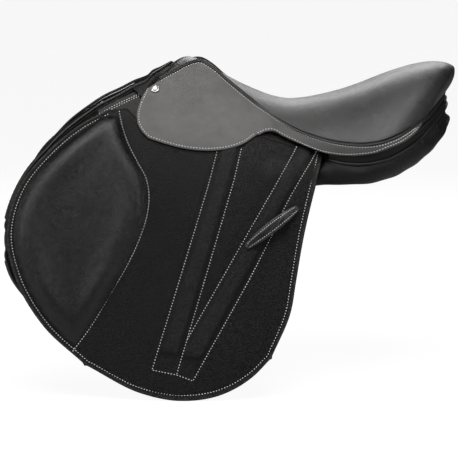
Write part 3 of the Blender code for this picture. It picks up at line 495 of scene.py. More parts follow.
def leather(name, dark, light, rough, grain, depth, fine=0.25, specular=0.30, sheen=0.0,
            painted_shade=None):
    """Dyed leather: pebbled grain, pores, cloudy dye, uneven polish and pale wear on its edges.

    With its last argument, the colour darkens from one x to another with painted shade, by a share
    that goes from one to another."""
    n = Nodes(name)
    tone = n.sum(n.noise(9.0, 5.0, 0.6), n.noise(70.0, 3.0, 0.5), 0.35)
    colour = n.mix(n.span(tone, 0.48, 0.88, 0.0, 1.0), dark, light)
    # painted shade: the colour darkens along x, where less light falls
    if painted_shade:
        along = n.add("SeparateXYZ", "X", {"Vector": n.place})
        colour = n.mix(n.span(along, *painted_shade), colour, PAINTED_SHADE_COLOUR)
    patches = n.span(n.noise(260.0, 3.0, 0.6), 0.40, 0.62, 0.25, 1.0)
    worn = n.product(n.add("Attribute", "Fac", attribute_name="wear"), patches)
    cells = n.pebbles(grain)
    height = n.sum(cells, n.noise(1.0 / (grain * 0.45), 4.0, 0.62), fine * 2.0)
    polish = n.sum(n.span(n.noise(22.0, 4.0, 0.6), 0.3, 0.7, rough - 0.05, rough + 0.06),
                   n.span(cells, 0.0, 1.0, 1.0, 0.0), 0.10)
    wide = n.bump(n.noise(38.0, 3.0, 0.5), 0.25, 0.0012)
    n.set(Base_Color=n.mix(worn, colour, WORN), Roughness=polish, Specular_IOR_Level=specular,
          Normal=n.bump(height, 0.55, depth, wide))
    if sheen:
        n.set(Sheen_Weight=sheen, Sheen_Roughness=0.45, Sheen_Tint=(0.85, 0.80, 0.76))
    return n.material


def thread(name, dark, light):
    n = Nodes(name)
    tone = n.mix(n.span(n.noise(700.0, 2.0), 0.35, 0.65, 0.0, 1.0), dark, light)
    return n.set(Base_Color=tone, Roughness=0.62,
                 Normal=n.bump(n.wave("DIAGONAL", 520.0, 1.5), 0.4, 0.0002))


def chrome():
    n = Nodes("polished_chrome")
    scratches = n.noise(900.0, 2.0, 0.5, (1.0, 6.0, 1.0))
    return n.set(Base_Color=(0.70, 0.69, 0.68), Metallic=1.0,
                 Roughness=n.span(scratches, 0.3, 0.7, 0.30, 0.38),
                 Normal=n.bump(scratches, 0.05, 0.0001))


def steel():
    n = Nodes("brushed_steel")
    brush = n.noise(420.0, 3.0, 0.6, (0.06, 1.0, 1.0))
    tone = n.mix(n.span(brush, 0.35, 0.7, 0.0, 1.0), (0.30, 0.30, 0.31), (0.46, 0.46, 0.47))
    return n.set(Base_Color=tone, Metallic=1.0, Roughness=n.span(brush, 0.3, 0.7, 0.26, 0.42),
                 Normal=n.bump(brush, 0.2, 0.0003))


def beech():
    n = Nodes("laminated_beech")
    rings = n.noise(55.0, 6.0, 0.65, (0.12, 1.0, 1.0))
    plies = n.wave("Z", 95.0, 0.6)
    grain = n.mix(n.span(rings, 0.3, 0.7, 0.0, 1.0), (0.34, 0.20, 0.10), (0.50, 0.33, 0.18))
    tone = n.mix(n.span(plies, 0.0, 0.12, 0.75, 0.0), grain, (0.20, 0.11, 0.05))
    return n.set(Base_Color=tone, Roughness=n.span(rings, 0.3, 0.7, 0.48, 0.66),
                 Normal=n.bump(rings, 0.25, 0.0004))


def woven(name, dark, light, size):
    """A plain weave of two crossing yarns."""
    n = Nodes(name)
    height = n.sum(n.wave("X", 0.32 / size, 0.8), n.wave("Z", 0.32 / size, 0.8), 1.0)
    tone = n.mix(n.span(height, 0.3, 1.6, 0.0, 1.0), dark, light)
    return n.set(Base_Color=tone, Roughness=0.88, Specular_IOR_Level=0.2,
                 Normal=n.bump(height, 0.6, 0.0006))


def foam():
    n = Nodes("cut_foam")
    cells = n.pebbles(0.0022)
    tone = n.mix(n.span(cells, 0.0, 1.0, 0.0, 1.0), (0.16, 0.15, 0.13), (0.34, 0.32, 0.28))
    return n.set(Base_Color=tone, Roughness=0.94, Specular_IOR_Level=0.1,
                 Normal=n.bump(cells, 0.8, 0.0012))


MAT = {
    "seat": leather("seat_leather", (0.0070, 0.0067, 0.0067), (0.0130, 0.0123, 0.0117), 0.28,
                    0.0011, 0.00022, specular=0.62, sheen=0.02),
    "skirt": leather("skirt_leather", (0.082, 0.080, 0.079), (0.120, 0.116, 0.114), 0.44,
                     0.0014, 0.00036, specular=0.36, sheen=0.10,
                     # painted shade: the skirt darkens towards its rear strip, where less light
                     # falls
                     painted_shade=(-0.045, 0.060, 0.0, 0.72)),
    "flap": leather("flap_leather", (0.0026, 0.0026, 0.0028), (0.0048, 0.0047, 0.0049), 0.33,
                    0.0019, 0.00055, specular=0.16),
    "pad": leather("pad_leather", (0.0030, 0.0028, 0.0028), (0.0052, 0.0049, 0.0047), 0.20,
                   0.0011, 0.00022, specular=0.44),
    "panel": leather("panel_leather", (0.0034, 0.0033, 0.0034), (0.0064, 0.0062, 0.0061), 0.31,
                     0.0010, 0.00022, specular=0.26),
    "trim": leather("trim_leather", (0.0055, 0.0055, 0.0058), (0.0100, 0.0098, 0.0098), 0.30,
                    0.0008, 0.00010, specular=0.45),
    "strap": leather("strap_leather_brown_black", (0.014, 0.0125, 0.0115), (0.026, 0.023, 0.021),
                     0.46, 0.0012, 0.00022, specular=0.26),
    "under": leather("under_leather", (0.0085, 0.0082, 0.0080), (0.0165, 0.0158, 0.0152), 0.52,
                     0.0010, 0.00030, fine=0.4, specular=0.22),
    "facing": leather("facing_leather", (0.014, 0.0135, 0.0130), (0.034, 0.032, 0.031), 0.46,
                      0.0022, 0.00070, specular=0.30),
    "thread": thread("thread", (0.58, 0.57, 0.55), (0.78, 0.77, 0.74)),
    "dull_thread": thread("dull_thread", (0.10, 0.098, 0.095), (0.20, 0.195, 0.19)),
    # painted shade: a hole's shallow pit is this dark to stand in for the shade in a hole that goes
    # through the strap
    "hole": leather("punched_hole_painted_shade", (0.004, 0.004, 0.004), (0.008, 0.008, 0.008), 0.60, 0.0008,
                    0.00020, specular=0.12),
    "chrome": chrome(),
    "steel": steel(),
    "beech": beech(),
    "webbing": woven("girth_webbing", (0.20, 0.17, 0.13), (0.42, 0.38, 0.30), 0.0016),
    "foam": foam(),
}
FRAME_MATERIALS = {
    "beech": ("tree_rails", "tree_head", "tree_point_left", "tree_point_right"),
    "steel": ("head_plate", "stirrup_bar_left", "stirrup_bar_right", "bar_catch_left",
              "bar_catch_right"),
}
for material, nodes in FRAME_MATERIALS.items():
    for node in nodes:
        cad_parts[node].data.materials[0] = MAT[material]


def wear(obj, values):
    """How worn each point is, 0 to 1."""
    layer = obj.data.attributes.new("wear", "FLOAT", "POINT")
    full = np.zeros(len(obj.data.vertices), np.float32)
    full[:values.size] = values.ravel()
    layer.data.foreach_set("value", full)


# The flap: its outline, the raised channels over the girth straps and its stitch lines, as x, z

FLAP_TOP_FRONT = ((-0.2622, 0.0879), (-0.2339, 0.0898), (-0.2135, 0.0680), (-0.2000, 0.0500))
NOTCH_REAR, NOTCH_RUN, NOTCH_DROP = -0.0850, 0.010, 0.0260
FLAP_FRONT = ((-0.2622, 0.0879), (-0.3004, 0.0671), (-0.3430, 0.0317), (-0.3797, -0.0138),
              (-0.3978, -0.0793), (-0.3870, -0.1331), (-0.3467, -0.2035), (-0.2926, -0.2544))
FLAP_BOTTOM = ((-0.2926, -0.2544), (-0.2153, -0.2928), (-0.1608, -0.3016), (-0.1103, -0.2942),
               (-0.0641, -0.2696), (-0.0388, -0.2457))
FLAP_REAR = ((0.0358, 0.0259), (0.0224, -0.0209), (0.0042, -0.0961), (-0.0047, -0.1444),
             (-0.0121, -0.1845), (-0.0388, -0.2457))
FRONT_LINE = ((-0.1090, 0.0360), (-0.1219, -0.0108), (-0.2016, -0.2621))
MIDDLE_LINE = ((-0.0760, 0.0360), (-0.0873, -0.0068), (-0.1681, -0.2685))
REAR_LINE = ((0.0020, 0.0385), (-0.0745, -0.0875), (-0.1536, -0.2217))
LAST_LINE = ((0.0310, 0.0345), (-0.0160, -0.0409), (-0.0372, -0.0836), (-0.1457, -0.2764))
CROSS_LINE = ((-0.2016, -0.2621), (-0.1681, -0.2685), (-0.1457, -0.2764))
PAD_SEAM = ((-0.2455, 0.0875), (-0.2414, 0.0675), (-0.2331, 0.0431), (-0.2195, 0.0161),
            (-0.2086, -0.0042), (-0.2046, -0.0271), (-0.2074, -0.0541), (-0.2158, -0.0811),
            (-0.2309, -0.1147), (-0.2584, -0.1617), (-0.2857, -0.2057), (-0.3100, -0.2375))
EDGE_STITCH = 0.0056     # from the flap's edge to its stitching
LINE_STEP = 0.0012       # between the points of an edge or a stitch line
FRONT_LEAN, REAR_LEAN = 0.93, 0.86       # a step off a slanting line, over the step along x
CHANNEL_RISE, CHANNEL_MARGIN, CHANNEL_SHOULDER = 0.0022, 0.001, 0.0085
GROOVE, GROOVE_WIDTH = 0.0007, 0.0012
LINE_END, REAR_LINE_END = -0.270, -0.2235
THREAD_SINK = 0.0004     # how deep a thread's path lies in a raised face
EDGE_WEAR = 0.0016       # how far the pale wear of an edge reaches
FLAP_COLUMN, FLAP_ROWS = 0.0062, 190     # widest step of the columns, as a share, and the rows
FLAP_CROWDING = 1.05     # power by which the rows lie closer at the top


def line_x(line, z):
    """x of a slanting line at each height."""
    places = np.array(line)[::-1]
    lowest = places[1] - places[0]
    below = places[0, 0] + (z - places[0, 1]) * lowest[0] / lowest[1]
    return np.where(z < places[0, 1], below, np.interp(z, places[:, 1], places[:, 0]))


def seam_points(line):
    return resample(smooth(line)(even(400)), LINE_STEP)


def round_edge(front, bottom, rear, count, step):
    """The edge of a leather from its front corner down, along and up, at equal steps."""
    front, bottom, rear = (smooth(line)(even(count)) for line in (front, bottom, rear))
    return resample(np.concatenate((front, bottom[1:], rear[::-1][1:])), step)


flap_edge = round_edge(FLAP_FRONT, FLAP_BOTTOM, FLAP_REAR, 500, LINE_STEP)
edge_stitch = resample(inset(flap_edge, EDGE_STITCH), LINE_STEP)
pad_seam = seam_points(PAD_SEAM)


def flap_relief(places):
    """Height of the flap's outer face over its plain sheet."""
    x, z = places[..., 0], places[..., 1]
    front, middle, rear, last = ((x - line_x(line, z)) * lean for line, lean in (
        (FRONT_LINE, FRONT_LEAN), (MIDDLE_LINE, FRONT_LEAN), (REAR_LINE, REAR_LEAN),
        (LAST_LINE, REAR_LEAN)))
    high = np.zeros_like(x)
    for first, second in ((front, middle), (rear, last)):
        rise = [ease((step - CHANNEL_MARGIN) / CHANNEL_SHOULDER) for step in (first, -second)]
        high = np.maximum(high, rise[0] * rise[1])
    # the channels sink where the straps end
    strap_end = ease((z + 0.2400 + 0.20 * (x + 0.1750) + 0.006) / 0.012)
    height = CHANNEL_RISE * high * (0.22 + 0.78 * strap_end)
    # the fold that the front strap presses ahead of its stitching
    ridge = bell(front + 0.0068, 0.0016) * ease((z + 0.225) / 0.05)
    height += 0.0006 * ridge * ease((0.03 - z) / 0.04)
    # the fold over the strap webs, just below the bend
    fold = bell(x + 0.015, 0.036) * bell(z - 0.008, 0.020)
    height += 0.0022 * fold * ease((hinge_z(x) - z - 0.005) / 0.024)
    # the leather sinks a little between the two channels and swells behind them
    height += 0.0007 * ease(-rear / 0.018) * ease(middle / 0.018)
    for distance, end in ((front, LINE_END), (middle, LINE_END), (rear, REAR_LINE_END),
                          (last, LINE_END)):
        height -= GROOVE * bell(distance, GROOVE_WIDTH) * ease((z - end) / 0.004)
    return height


def dressing_of_edge(places, edge, stitch):
    """Height of a leather near its edge: a groove under the stitching and a rolled, beaded rim."""
    to_edge, to_stitch = nearness(places, edge), nearness(places, stitch)
    return (0.0007 * bell(to_edge - 0.0022, 0.0016)
            - 0.0006 * bell(to_stitch, GROOVE_WIDTH)), to_edge


notch_z = hinge_z(NOTCH_REAR)
flap_top, top_shares = straight((*FLAP_TOP_FRONT, (NOTCH_REAR - NOTCH_RUN, notch_z - NOTCH_DROP),
                                 (NOTCH_REAR, notch_z - HINGE_GAP), FLAP_REAR[0]))
flap_grid = coons(flap_top, smooth(FLAP_BOTTOM), smooth(FLAP_FRONT), smooth(FLAP_REAR),
                  filled(top_shares, FLAP_COLUMN), even(FLAP_ROWS)**FLAP_CROWDING)
flap_dress, flap_to_edge = dressing_of_edge(flap_grid, flap_edge[::3], edge_stitch[::3])
seam_groove = 0.0008 * bell(nearness(flap_grid, pad_seam[::2]), 0.0014)
flap_height = flap_relief(flap_grid) + flap_dress - seam_groove
flap_wear = 0.75 * bell(flap_to_edge, EDGE_WEAR) + 0.10 * ease((flap_height - 0.0012) / 0.001)
for label, side in SIDES:
    flap = side_sheet("flap_leather_" + label, flap_grid, FLAP_FACE - flap_height, FLAP_BACK,
                      side, "flap", "flap_" + label, ["flap_" + label], bulge=0.42,
                      square=("top",))
    wear(flap, flap_wear)


def side_stitches(line, depth, side, **sizes):
    """A row of stitches along a line of x, z places, at one depth or at one for each place."""
    points = on_side(line, depth, side)
    normals = side_normal(line[:, 0], line[:, 1]) * mirror(side)
    return stitches(points, normals, **sizes)


flap_lines = [resample(np.array(line), LINE_STEP) for line in (FRONT_LINE, MIDDLE_LINE, REAR_LINE)]
flap_lines += [seam_points(LAST_LINE), resample(np.array(CROSS_LINE), LINE_STEP)]
for label, side in SIDES:
    rows = [side_stitches(line, FLAP_FACE - flap_relief(line), side) for line in flap_lines]
    rows += [side_stitches(line, FLAP_FACE + THREAD_SINK, side) for line in (edge_stitch, pad_seam)]
    sewn("flap_stitching_" + label, rows, "flap_" + label)


# The knee pad, a soft block under its own leather, sunk to the seam all round

PAD_TOP = ((-0.2690, 0.0790), (-0.2440, 0.0800))
PAD_FRONT = ((-0.2690, 0.0790), (-0.3370, 0.0260), (-0.3720, -0.0170), (-0.3888, -0.0793),
             (-0.3790, -0.1290), (-0.3400, -0.1970), (-0.3180, -0.2200))
PAD_REAR = ((-0.2440, 0.0800), (-0.2331, 0.0431), (-0.2086, -0.0042), (-0.2074, -0.0541),
            (-0.2309, -0.1147), (-0.2857, -0.2057), (-0.3030, -0.2270))
PAD_BOTTOM = ((-0.3180, -0.2200), (-0.3030, -0.2270))
PAD_SOFTENING = 30       # passes that round off the pad's ridges
PAD_SEAM_ROOM = 0.0024   # from the pad to its seam
PAD_REACH, PAD_REACH_LESS = 0.024, 0.006     # width of its shoulders, and how much less at the top
PAD_BASE, PAD_SHOULDER = 0.0010, 0.0092
PAD_ROLL, PAD_ROLL_PLACE, PAD_ROLL_WIDTH = 0.0040, 0.019, 0.013
pad_top, pad_bottom, pad_front = smooth(PAD_TOP), smooth(PAD_BOTTOM), smooth(PAD_FRONT)
pad_rear = smooth([(x - PAD_SEAM_ROOM, z) for x, z in PAD_REAR])
pad_grid = coons(pad_top, pad_bottom, pad_front, pad_rear, even(72), even(180))


def pad_rise(places, rim):
    """How far the pad stands out: rounded shoulders, fuller at its front and rear edges."""
    inside = nearness(places, rim)
    reach = PAD_REACH - PAD_REACH_LESS * ease((places[..., 1] - 0.010) / 0.040)
    shoulder = np.sqrt(np.clip(1.0 - (1.0 - np.clip(inside / reach, 0.0, 1.0))**2, 0.0, 1.0))
    fade = ease((places[..., 1] + 0.245) / 0.100)
    full = PAD_SHOULDER * shoulder + PAD_ROLL * bell(inside - PAD_ROLL_PLACE, PAD_ROLL_WIDTH)
    return (PAD_BASE + full * (0.30 + 0.70 * fade)) * ease(inside / 0.004 + 0.12)


pad_rim = np.concatenate((pad_top(even(30)), pad_rear(even(160)), pad_bottom(even(20)),
                          pad_front(even(160))))
pad_height = pad_rise(pad_grid, pad_rim)
for _ in range(PAD_SOFTENING):
    pad_height[1:-1, 1:-1] = (pad_height[:-2, 1:-1] + pad_height[2:, 1:-1]
                              + pad_height[1:-1, :-2] + pad_height[1:-1, 2:]) / 4
for label, side in SIDES:
    pad = side_sheet("knee_pad_cover_" + label, pad_grid, FLAP_FACE - pad_height,
                     FLAP_FACE + 0.0006, side, "pad", "flap_" + label, ["knee_pad_" + label],
                     "soft_leather", bulge=0.2)


# Skirts: a fixed top that runs on into the rear strip, and a lower part that lifts. Both follow
# one face, with the same columns and the same normals at the line on which they meet.

SKIRT_FRONT = ((-0.2153, 0.0989), (-0.2202, 0.0806), (-0.2192, 0.0689), (-0.2145, 0.0592),
               (-0.2050, 0.0493))
SKIRT_EDGE = ((-0.2050, 0.0493), (-0.1908, 0.0445), (-0.1504, 0.0345), (-0.1098, 0.0329),
              (-0.0895, 0.0361), (-0.0689, 0.0436), (-0.0575, 0.0508), (-0.0541, 0.0525))
SKIRT_CREST = ((-0.2066, 0.0777, 0.1141), (-0.1880, 0.0700, 0.1260), (-0.1670, 0.0580, 0.1370),
               (-0.1450, 0.0450, 0.1475), (-0.1320, 0.0400, 0.1500), (-0.1160, 0.0470, 0.1420),
               (-0.0970, 0.0550, 0.1260), (-0.0770, 0.0650, 0.1100), (-0.0565, 0.0750, 0.0940),
               (-0.0360, 0.0860, 0.0790), (-0.0160, 0.0970, 0.0670), (0.0035, 0.1080, 0.0570),
               (0.0230, 0.1190, 0.0500), (0.0460, 0.1300, 0.0440), (0.0640, 0.1380, 0.0415),
               (0.0810, 0.1450, 0.0405), (0.0990, 0.1500, 0.0415), (0.1170, 0.1520, 0.0450),
               (0.1350, 0.1480, 0.0515), (0.1540, 0.1380, 0.0600), (0.1740, 0.1220, 0.0700))
STRIP_EDGE = ((-0.0420, 0.1120, 0.0570), (-0.0305, 0.1120, 0.0575), (-0.0180, 0.1150, 0.0510),
              (0.0000, 0.1200, 0.0425), (0.0180, 0.1280, 0.0350), (0.0360, 0.1360, 0.0290),
              (0.0540, 0.1430, 0.0260), (0.0720, 0.1500, 0.0254), (0.0890, 0.1550, 0.0270),
              (0.1070, 0.1580, 0.0300), (0.1250, 0.1590, 0.0370), (0.1440, 0.1540, 0.0440),
              (0.1630, 0.1420, 0.0560), (0.1750, 0.1260, 0.0660))
HINGE_PLACES = np.array((0.0, 0.2, 0.4, 0.56, 0.62, 0.642))
SKIRT_SWELL = 0.002
SKIRT_STITCH = 0.0020    # from the skirt's edge to its stitching
CREST_STITCH = 0.0034    # from the crest to its stitching, at the pommel
CREST_DRIFT = 0.0050     # how much further down the crest's stitching runs along the strip
SEAM_BLEND = 0.016       # how far from the bend the two parts' normals differ from their own
CREST_LENGTH = 0.43      # along the crest, near enough to tell how far its front end is
SKIRT_SHEET = SKIRT - SHEET_ROOM
SKIRT_COLUMN, SKIRT_ROWS = 0.0045, 44    # widest step of the columns, as a share, and the rows
SKIRT_WEAR, SKIRT_ROUND = 0.0009, 0.30   # reach of an edge's wear, and how round its cut is

hinge_line = HINGE_FRONT + (HINGE_REAR - HINGE_FRONT) * HINGE_PLACES[:, None]
lower_points = np.concatenate((hinge_line, STRIP_EDGE))
bend_end = distances(lower_points)[len(hinge_line) - 1] / distances(lower_points)[-1]
crest_at, lower_at = smooth(SKIRT_CREST), smooth(lower_points)
skirt_columns = filled((0.0, bend_end, 1.0), SKIRT_COLUMN)
bend_columns = int(np.argmin(np.abs(skirt_columns - bend_end))) + 1
skirt_shares = even(SKIRT_ROWS)


def skirt_top_face(t, share):
    """The right-hand face of the skirt's fixed part, which swells a little between its edges."""
    high, low = crest_at(t), lower_at(t)
    fall = high - low
    out = unit(np.stack((np.zeros_like(t), fall[..., 2], -fall[..., 1]), -1))
    drop = np.linalg.norm(fall, axis=-1)
    swell = SKIRT_SWELL * 4.0 * share * (1.0 - share) * np.minimum(1.0, drop / 0.03)
    return high + (low - high) * share[..., None] + out * swell[..., None]


def outward(normals):
    """Normals of a right-hand face, turned to face out or up."""
    return np.where((normals[..., 1] + 0.6 * normals[..., 2] < 0)[..., None], -normals, normals)


def sampled(grid, rows, columns):
    """Values of a grid at fractional rows and columns."""
    i = np.clip(rows.astype(int), 0, grid.shape[0] - 2)
    j = np.clip(columns.astype(int), 0, grid.shape[1] - 2)
    u, v = (rows - i)[:, None], (columns - j)[:, None]
    return ((grid[i, j] * (1 - v) + grid[i, j + 1] * v) * (1 - u)
            + (grid[i + 1, j] * (1 - v) + grid[i + 1, j + 1] * v) * u)


def to_bend(normals, away):
    """Normals that turn, near the bend, to the ones that both parts share on it."""
    weight = (np.clip(1.0 - away / SEAM_BLEND, 0.0, 1.0)**2)[..., None]
    return unit(normals * (1 - weight) + bend_out[None] * weight)


def shade(obj, normals):
    """Gives a mesh's first points the normals of a face that runs on beyond it."""
    mesh = obj.data
    own = np.empty(len(mesh.vertices) * 3, np.float32)
    mesh.vertex_normals.foreach_get("vector", own)
    own = own.reshape(-1, 3)
    own[:len(normals)] = normals
    mesh.normals_split_custom_set_from_vertices(own.tolist())


grid_t, grid_s = np.meshgrid(skirt_columns, skirt_shares)
skirt_top = skirt_top_face(grid_t, grid_s)
skirt_top_out = outward(grid_normals(skirt_top))
skirt_fall = np.linalg.norm(crest_at(skirt_columns) - lower_at(skirt_columns), axis=1)

bend_x = lower_at(skirt_columns[:bend_columns])[:, 0]
bend_x[0], bend_x[-1] = HINGE_FRONT[0], SKIRT_EDGE[-1][0]
bend_line, _ = straight([(x, hinge_z(x)) for x in bend_x[[0, -1]]])
skirt_low = coons(bend_line, smooth(SKIRT_EDGE), smooth(SKIRT_FRONT),
                  lambda t: np.broadcast_to(SKIRT_EDGE[-1], np.shape(t) + (2,)),
                  (bend_x - bend_x[0]) / (bend_x[-1] - bend_x[0]), skirt_shares)
skirt_low_out = side_normal(skirt_low[..., 0], skirt_low[..., 1])
bend_out = unit(skirt_top_out[-1, :bend_columns] + skirt_low_out[0])
away = (1.0 - skirt_shares)[:, None] * skirt_fall[None, :bend_columns]
skirt_top_out[:, :bend_columns] = to_bend(skirt_top_out[:, :bend_columns], away)
skirt_low_out = to_bend(skirt_low_out, np.linalg.norm(skirt_low - skirt_low[:1], axis=-1))

# How far each point lies from its piece's cut edges, and the stitch line inside the lower edge
top_crest = grid_s * skirt_fall[None]
top_strip = np.where(grid_t > bend_end, (1.0 - grid_s) * skirt_fall[None], 1.0)
top_edge = np.minimum(np.minimum(top_crest, top_strip), grid_t * CREST_LENGTH)
low_line = resample(np.concatenate((smooth(SKIRT_FRONT)(even(200)),
                                    smooth(SKIRT_EDGE)(even(400))[1:])), 0.0010)
low_edge = nearness(skirt_low, low_line)
low_stitch = resample(inset(low_line, SKIRT_STITCH), 0.0010)
low_stitch = low_stitch[low_stitch[:, 1] < hinge_z(low_stitch[:, 0]) - 0.0004]


def skirt_relief(to_edge):
    """A thin, slightly rolled edge with a groove under its stitching."""
    groove = 0.00035 * bell(to_edge - SKIRT_STITCH, 0.0011)
    return -groove - 0.0004 * np.clip(1.0 - to_edge / 0.0020, 0.0, 1.0)**2


def on_skirt_top(share, t):
    """Places and normals on the skirt's fixed part, at shares of the way down it and along it."""
    rows = share * (len(skirt_shares) - 1)
    columns = np.interp(t, skirt_columns, np.arange(len(skirt_columns)))
    return sampled(skirt_top, rows, columns), sampled(skirt_top_out, rows, columns)


def crest_row(first, last, near):
    """A stitch line on the skirt's fixed part, at a distance below its crest or above its edge."""
    t = np.linspace(first, last, 900)
    drop = np.interp(t, skirt_columns, skirt_fall)
    if near > 0:
        share = np.minimum((near + CREST_DRIFT * ease((t - 0.24) / 0.26)) / drop, 0.52)
    else:
        share = np.maximum(1.0 + near / drop, 0.54)
    return on_skirt_top(share, t)


def cut_edge(i, j, where):
    """Roundness of the fixed part's edge: none where the lower part continues it."""
    return 0.0 if where == "bottom" and j < bend_columns else SKIRT_ROUND


front_row = on_skirt_top(np.linspace(0.10, 1.0, 60), np.full(60, 0.0064))
for label, side in SIDES:
    flip = mirror(side)
    for name, body, face, out, to_edge, bulge, square in (
            ("skirt_top_", "saddle", skirt_top * flip, skirt_top_out, top_edge, cut_edge, ()),
            ("skirt_", "skirt_" + label, on_side(skirt_low, 0.0, side), skirt_low_out, low_edge,
             SKIRT_ROUND, ("top",))):
        out = out * flip
        outer = face + out * skirt_relief(to_edge)[..., None]
        part = sheet(name + "leather_" + label, outer, outer - out * SKIRT_SHEET, "skirt", body,
                     [name + label], bulge=bulge, square=square)
        wear(part, 0.30 * bell(to_edge, SKIRT_WEAR))
        shade(part, out.reshape(-1, 3))
    lines = (crest_row(0.052, 0.965, CREST_STITCH), crest_row(bend_end, 0.975, -SKIRT_STITCH),
             front_row)
    sewn("skirt_top_stitching_" + label,
         [stitches(line * flip, normals * flip) for line, normals in lines], "saddle")
    sewn("skirt_stitching_" + label, [side_stitches(low_stitch, 0.0002, side)], "skirt_" + label)


# Saddle nails

NAIL_ALONG, NAIL_DOWN, NAIL_RADIUS, NAIL_RISE = 0.036, 0.38, 0.0062, 0.0035
NAIL_SEAT = 0.0009       # from the skirt's grid to the foot of the nail's dome


def turned(profile, centre, normal, sides=40):
    """A round piece from radius and height pairs, about a normal."""
    normal = unit(normal)
    across = unit(np.cross(normal, (0.0, 0.0, 1.0)))
    ring = circle(across, np.cross(normal, across), sides)
    points = np.concatenate([centre + normal * h + ring * r for r, h in profile])
    return points, oriented(points, ring_faces(len(profile), sides))


nail_profile = [(NAIL_RADIUS * 0.80, -0.0012), (NAIL_RADIUS, -0.0004), (NAIL_RADIUS, 0.0004),
                (NAIL_RADIUS * 0.95, 0.0009), (NAIL_RADIUS * 0.86, 0.0010)]
nail_profile += [(NAIL_RADIUS * 0.84 * math.cos(a), 0.0010 + (NAIL_RISE - 0.0010) * math.sin(a))
                 for a in (math.pi / 2 * k / 12 for k in range(12))]
nail_profile.append((0.00005, NAIL_RISE))
nail_place, nail_out = (found[0] for found in on_skirt_top(np.array([NAIL_DOWN]),
                                                           np.array([NAIL_ALONG])))
for label, side in SIDES:
    flip = mirror(side)
    points, faces = turned(nail_profile, (nail_place + nail_out * NAIL_SEAT) * flip,
                           nail_out * flip)
    made("saddle_nail_head_" + label, points, faces, "chrome", "saddle",
         ["saddle_nail_" + label], "chrome")


# Seat: rows fan from the pommel over the seat and down behind the cantle's rim

SEAT_CENTRE = ((-0.1660, 0.1490), (-0.1580, 0.1535), (-0.1500, 0.1557), (-0.1400, 0.1540),
               (-0.1310, 0.1506), (-0.1110, 0.1390), (-0.0850, 0.1240), (-0.0530, 0.1090),
               (-0.0250, 0.0985), (0.0000, 0.0944), (0.0210, 0.0960), (0.0490, 0.1010),
               (0.0770, 0.1080), (0.1070, 0.1180), (0.1380, 0.1300), (0.1650, 0.1390),
               (0.1880, 0.1450), (0.2060, 0.1475), (0.2180, 0.1473), (0.2290, 0.1450),
               (0.2370, 0.1400), (0.2380, 0.1325), (0.2350, 0.1210), (0.2295, 0.1110),
               (0.2260, 0.1050))
SEAT_FOOT = (-0.1960, 0.0500, 0.1220)
SEAT_TAIL = ((0.1900, 0.0980, 0.0810), (0.2020, 0.0780, 0.0910), (0.2110, 0.0560, 0.0985),
             (0.2170, 0.0340, 0.1030))
UNDER_Y, UNDER_Z = 1.07, 0.53            # from the crest to the seat's edge, in skirt thicknesses
SEAT_EDGE = (SEAT_FOOT, *((x, y - UNDER_Y * SKIRT, z - UNDER_Z * SKIRT)
                          for x, y, z in SKIRT_CREST[1:]), *SEAT_TAIL)
COVER, GAP = 0.0025, 0.0003
SEAT_ROWS = 27           # rows of the frame by which the pieces under the seat are placed
FOAM_FIRST, RAIL_FIRST, CANTLE_FIRST = 1, 4, 18
FOAM_CENTRE, FOAM_EDGE, FOAM_POMMEL = 0.024, 0.008, 0.009
RIM_REACH, RAIL_INSET, TREE_ROOM = 0.022, 0.012, 0.0007
RAIL_INNER = 0.56
WEB, LAYER_GAP = 0.002, 0.001
WEB_SPAN = 0.985         # share of the rails' inner width that the webs fill


def paired(points):
    """A smooth curve by an even share of its points' number, so that rows of two curves agree."""
    knots = distances(points)
    knots /= knots[-1]
    rates = np.gradient(knots)
    curve = smooth(points)

    def at(s):
        scaled = np.clip(s, 0.0, 1.0) * (len(knots) - 1)
        i = np.minimum(scaled.astype(int), len(knots) - 2)
        return curve(cubic(knots[i], knots[i + 1], rates[i], rates[i + 1], scaled - i))

    return at


seat_centre_at = paired([(x, 0.0, z) for x, z in SEAT_CENTRE])
seat_edge_at = paired(SEAT_EDGE)


def seat_face(s, b):
    """The outer face of the seat at s along it and b across it, -1 to 1."""
    centre, edge = seat_centre_at(s), seat_edge_at(s)
    power = 2.1 + 0.5 * ease((s - 0.3) / 0.4)
    wide = np.abs(b)
    return np.stack((
        centre[..., 0] + (edge[..., 0] - centre[..., 0]) * wide**2,
        edge[..., 1] * b,
        edge[..., 2] + (centre[..., 2] - edge[..., 2]) * (1.0 - wide**power)), -1)


def foam_reach(s, b):
    """The vector from the seat's outer face to the top of the tree."""
    behind, under = ease((s - 0.70) / 0.13), ease((s - 0.83) / 0.17)
    ahead = 1.0 - ease((s - 0.10) / 0.16)
    centre = FOAM_CENTRE + (FOAM_POMMEL - FOAM_CENTRE) * ahead
    zero = np.zeros_like(s)
    middle = np.stack((-RIM_REACH * behind * (1.0 - 0.4 * under), zero,
                       -centre * (1.0 - 0.8 * under)), -1)
    edge = np.stack((-0.4 * RIM_REACH * behind, -np.sign(b) * RAIL_INSET * (1.0 - ahead),
                     zero - FOAM_EDGE - COVER), -1)
    return middle + (edge - middle) * (np.abs(b)**2)[..., None]


def seat_patch(first, last, rows, widest, columns):
    """A fine grid of shares over part of the seat, its face and its outward normals."""
    s = np.linspace(first, last, rows) / (SEAT_ROWS - 1)
    grid_b, grid_s = np.meshgrid(np.linspace(-widest, widest, columns), s)
    face = seat_face(grid_s, grid_b)
    return grid_s, grid_b, face, -grid_normals(face)


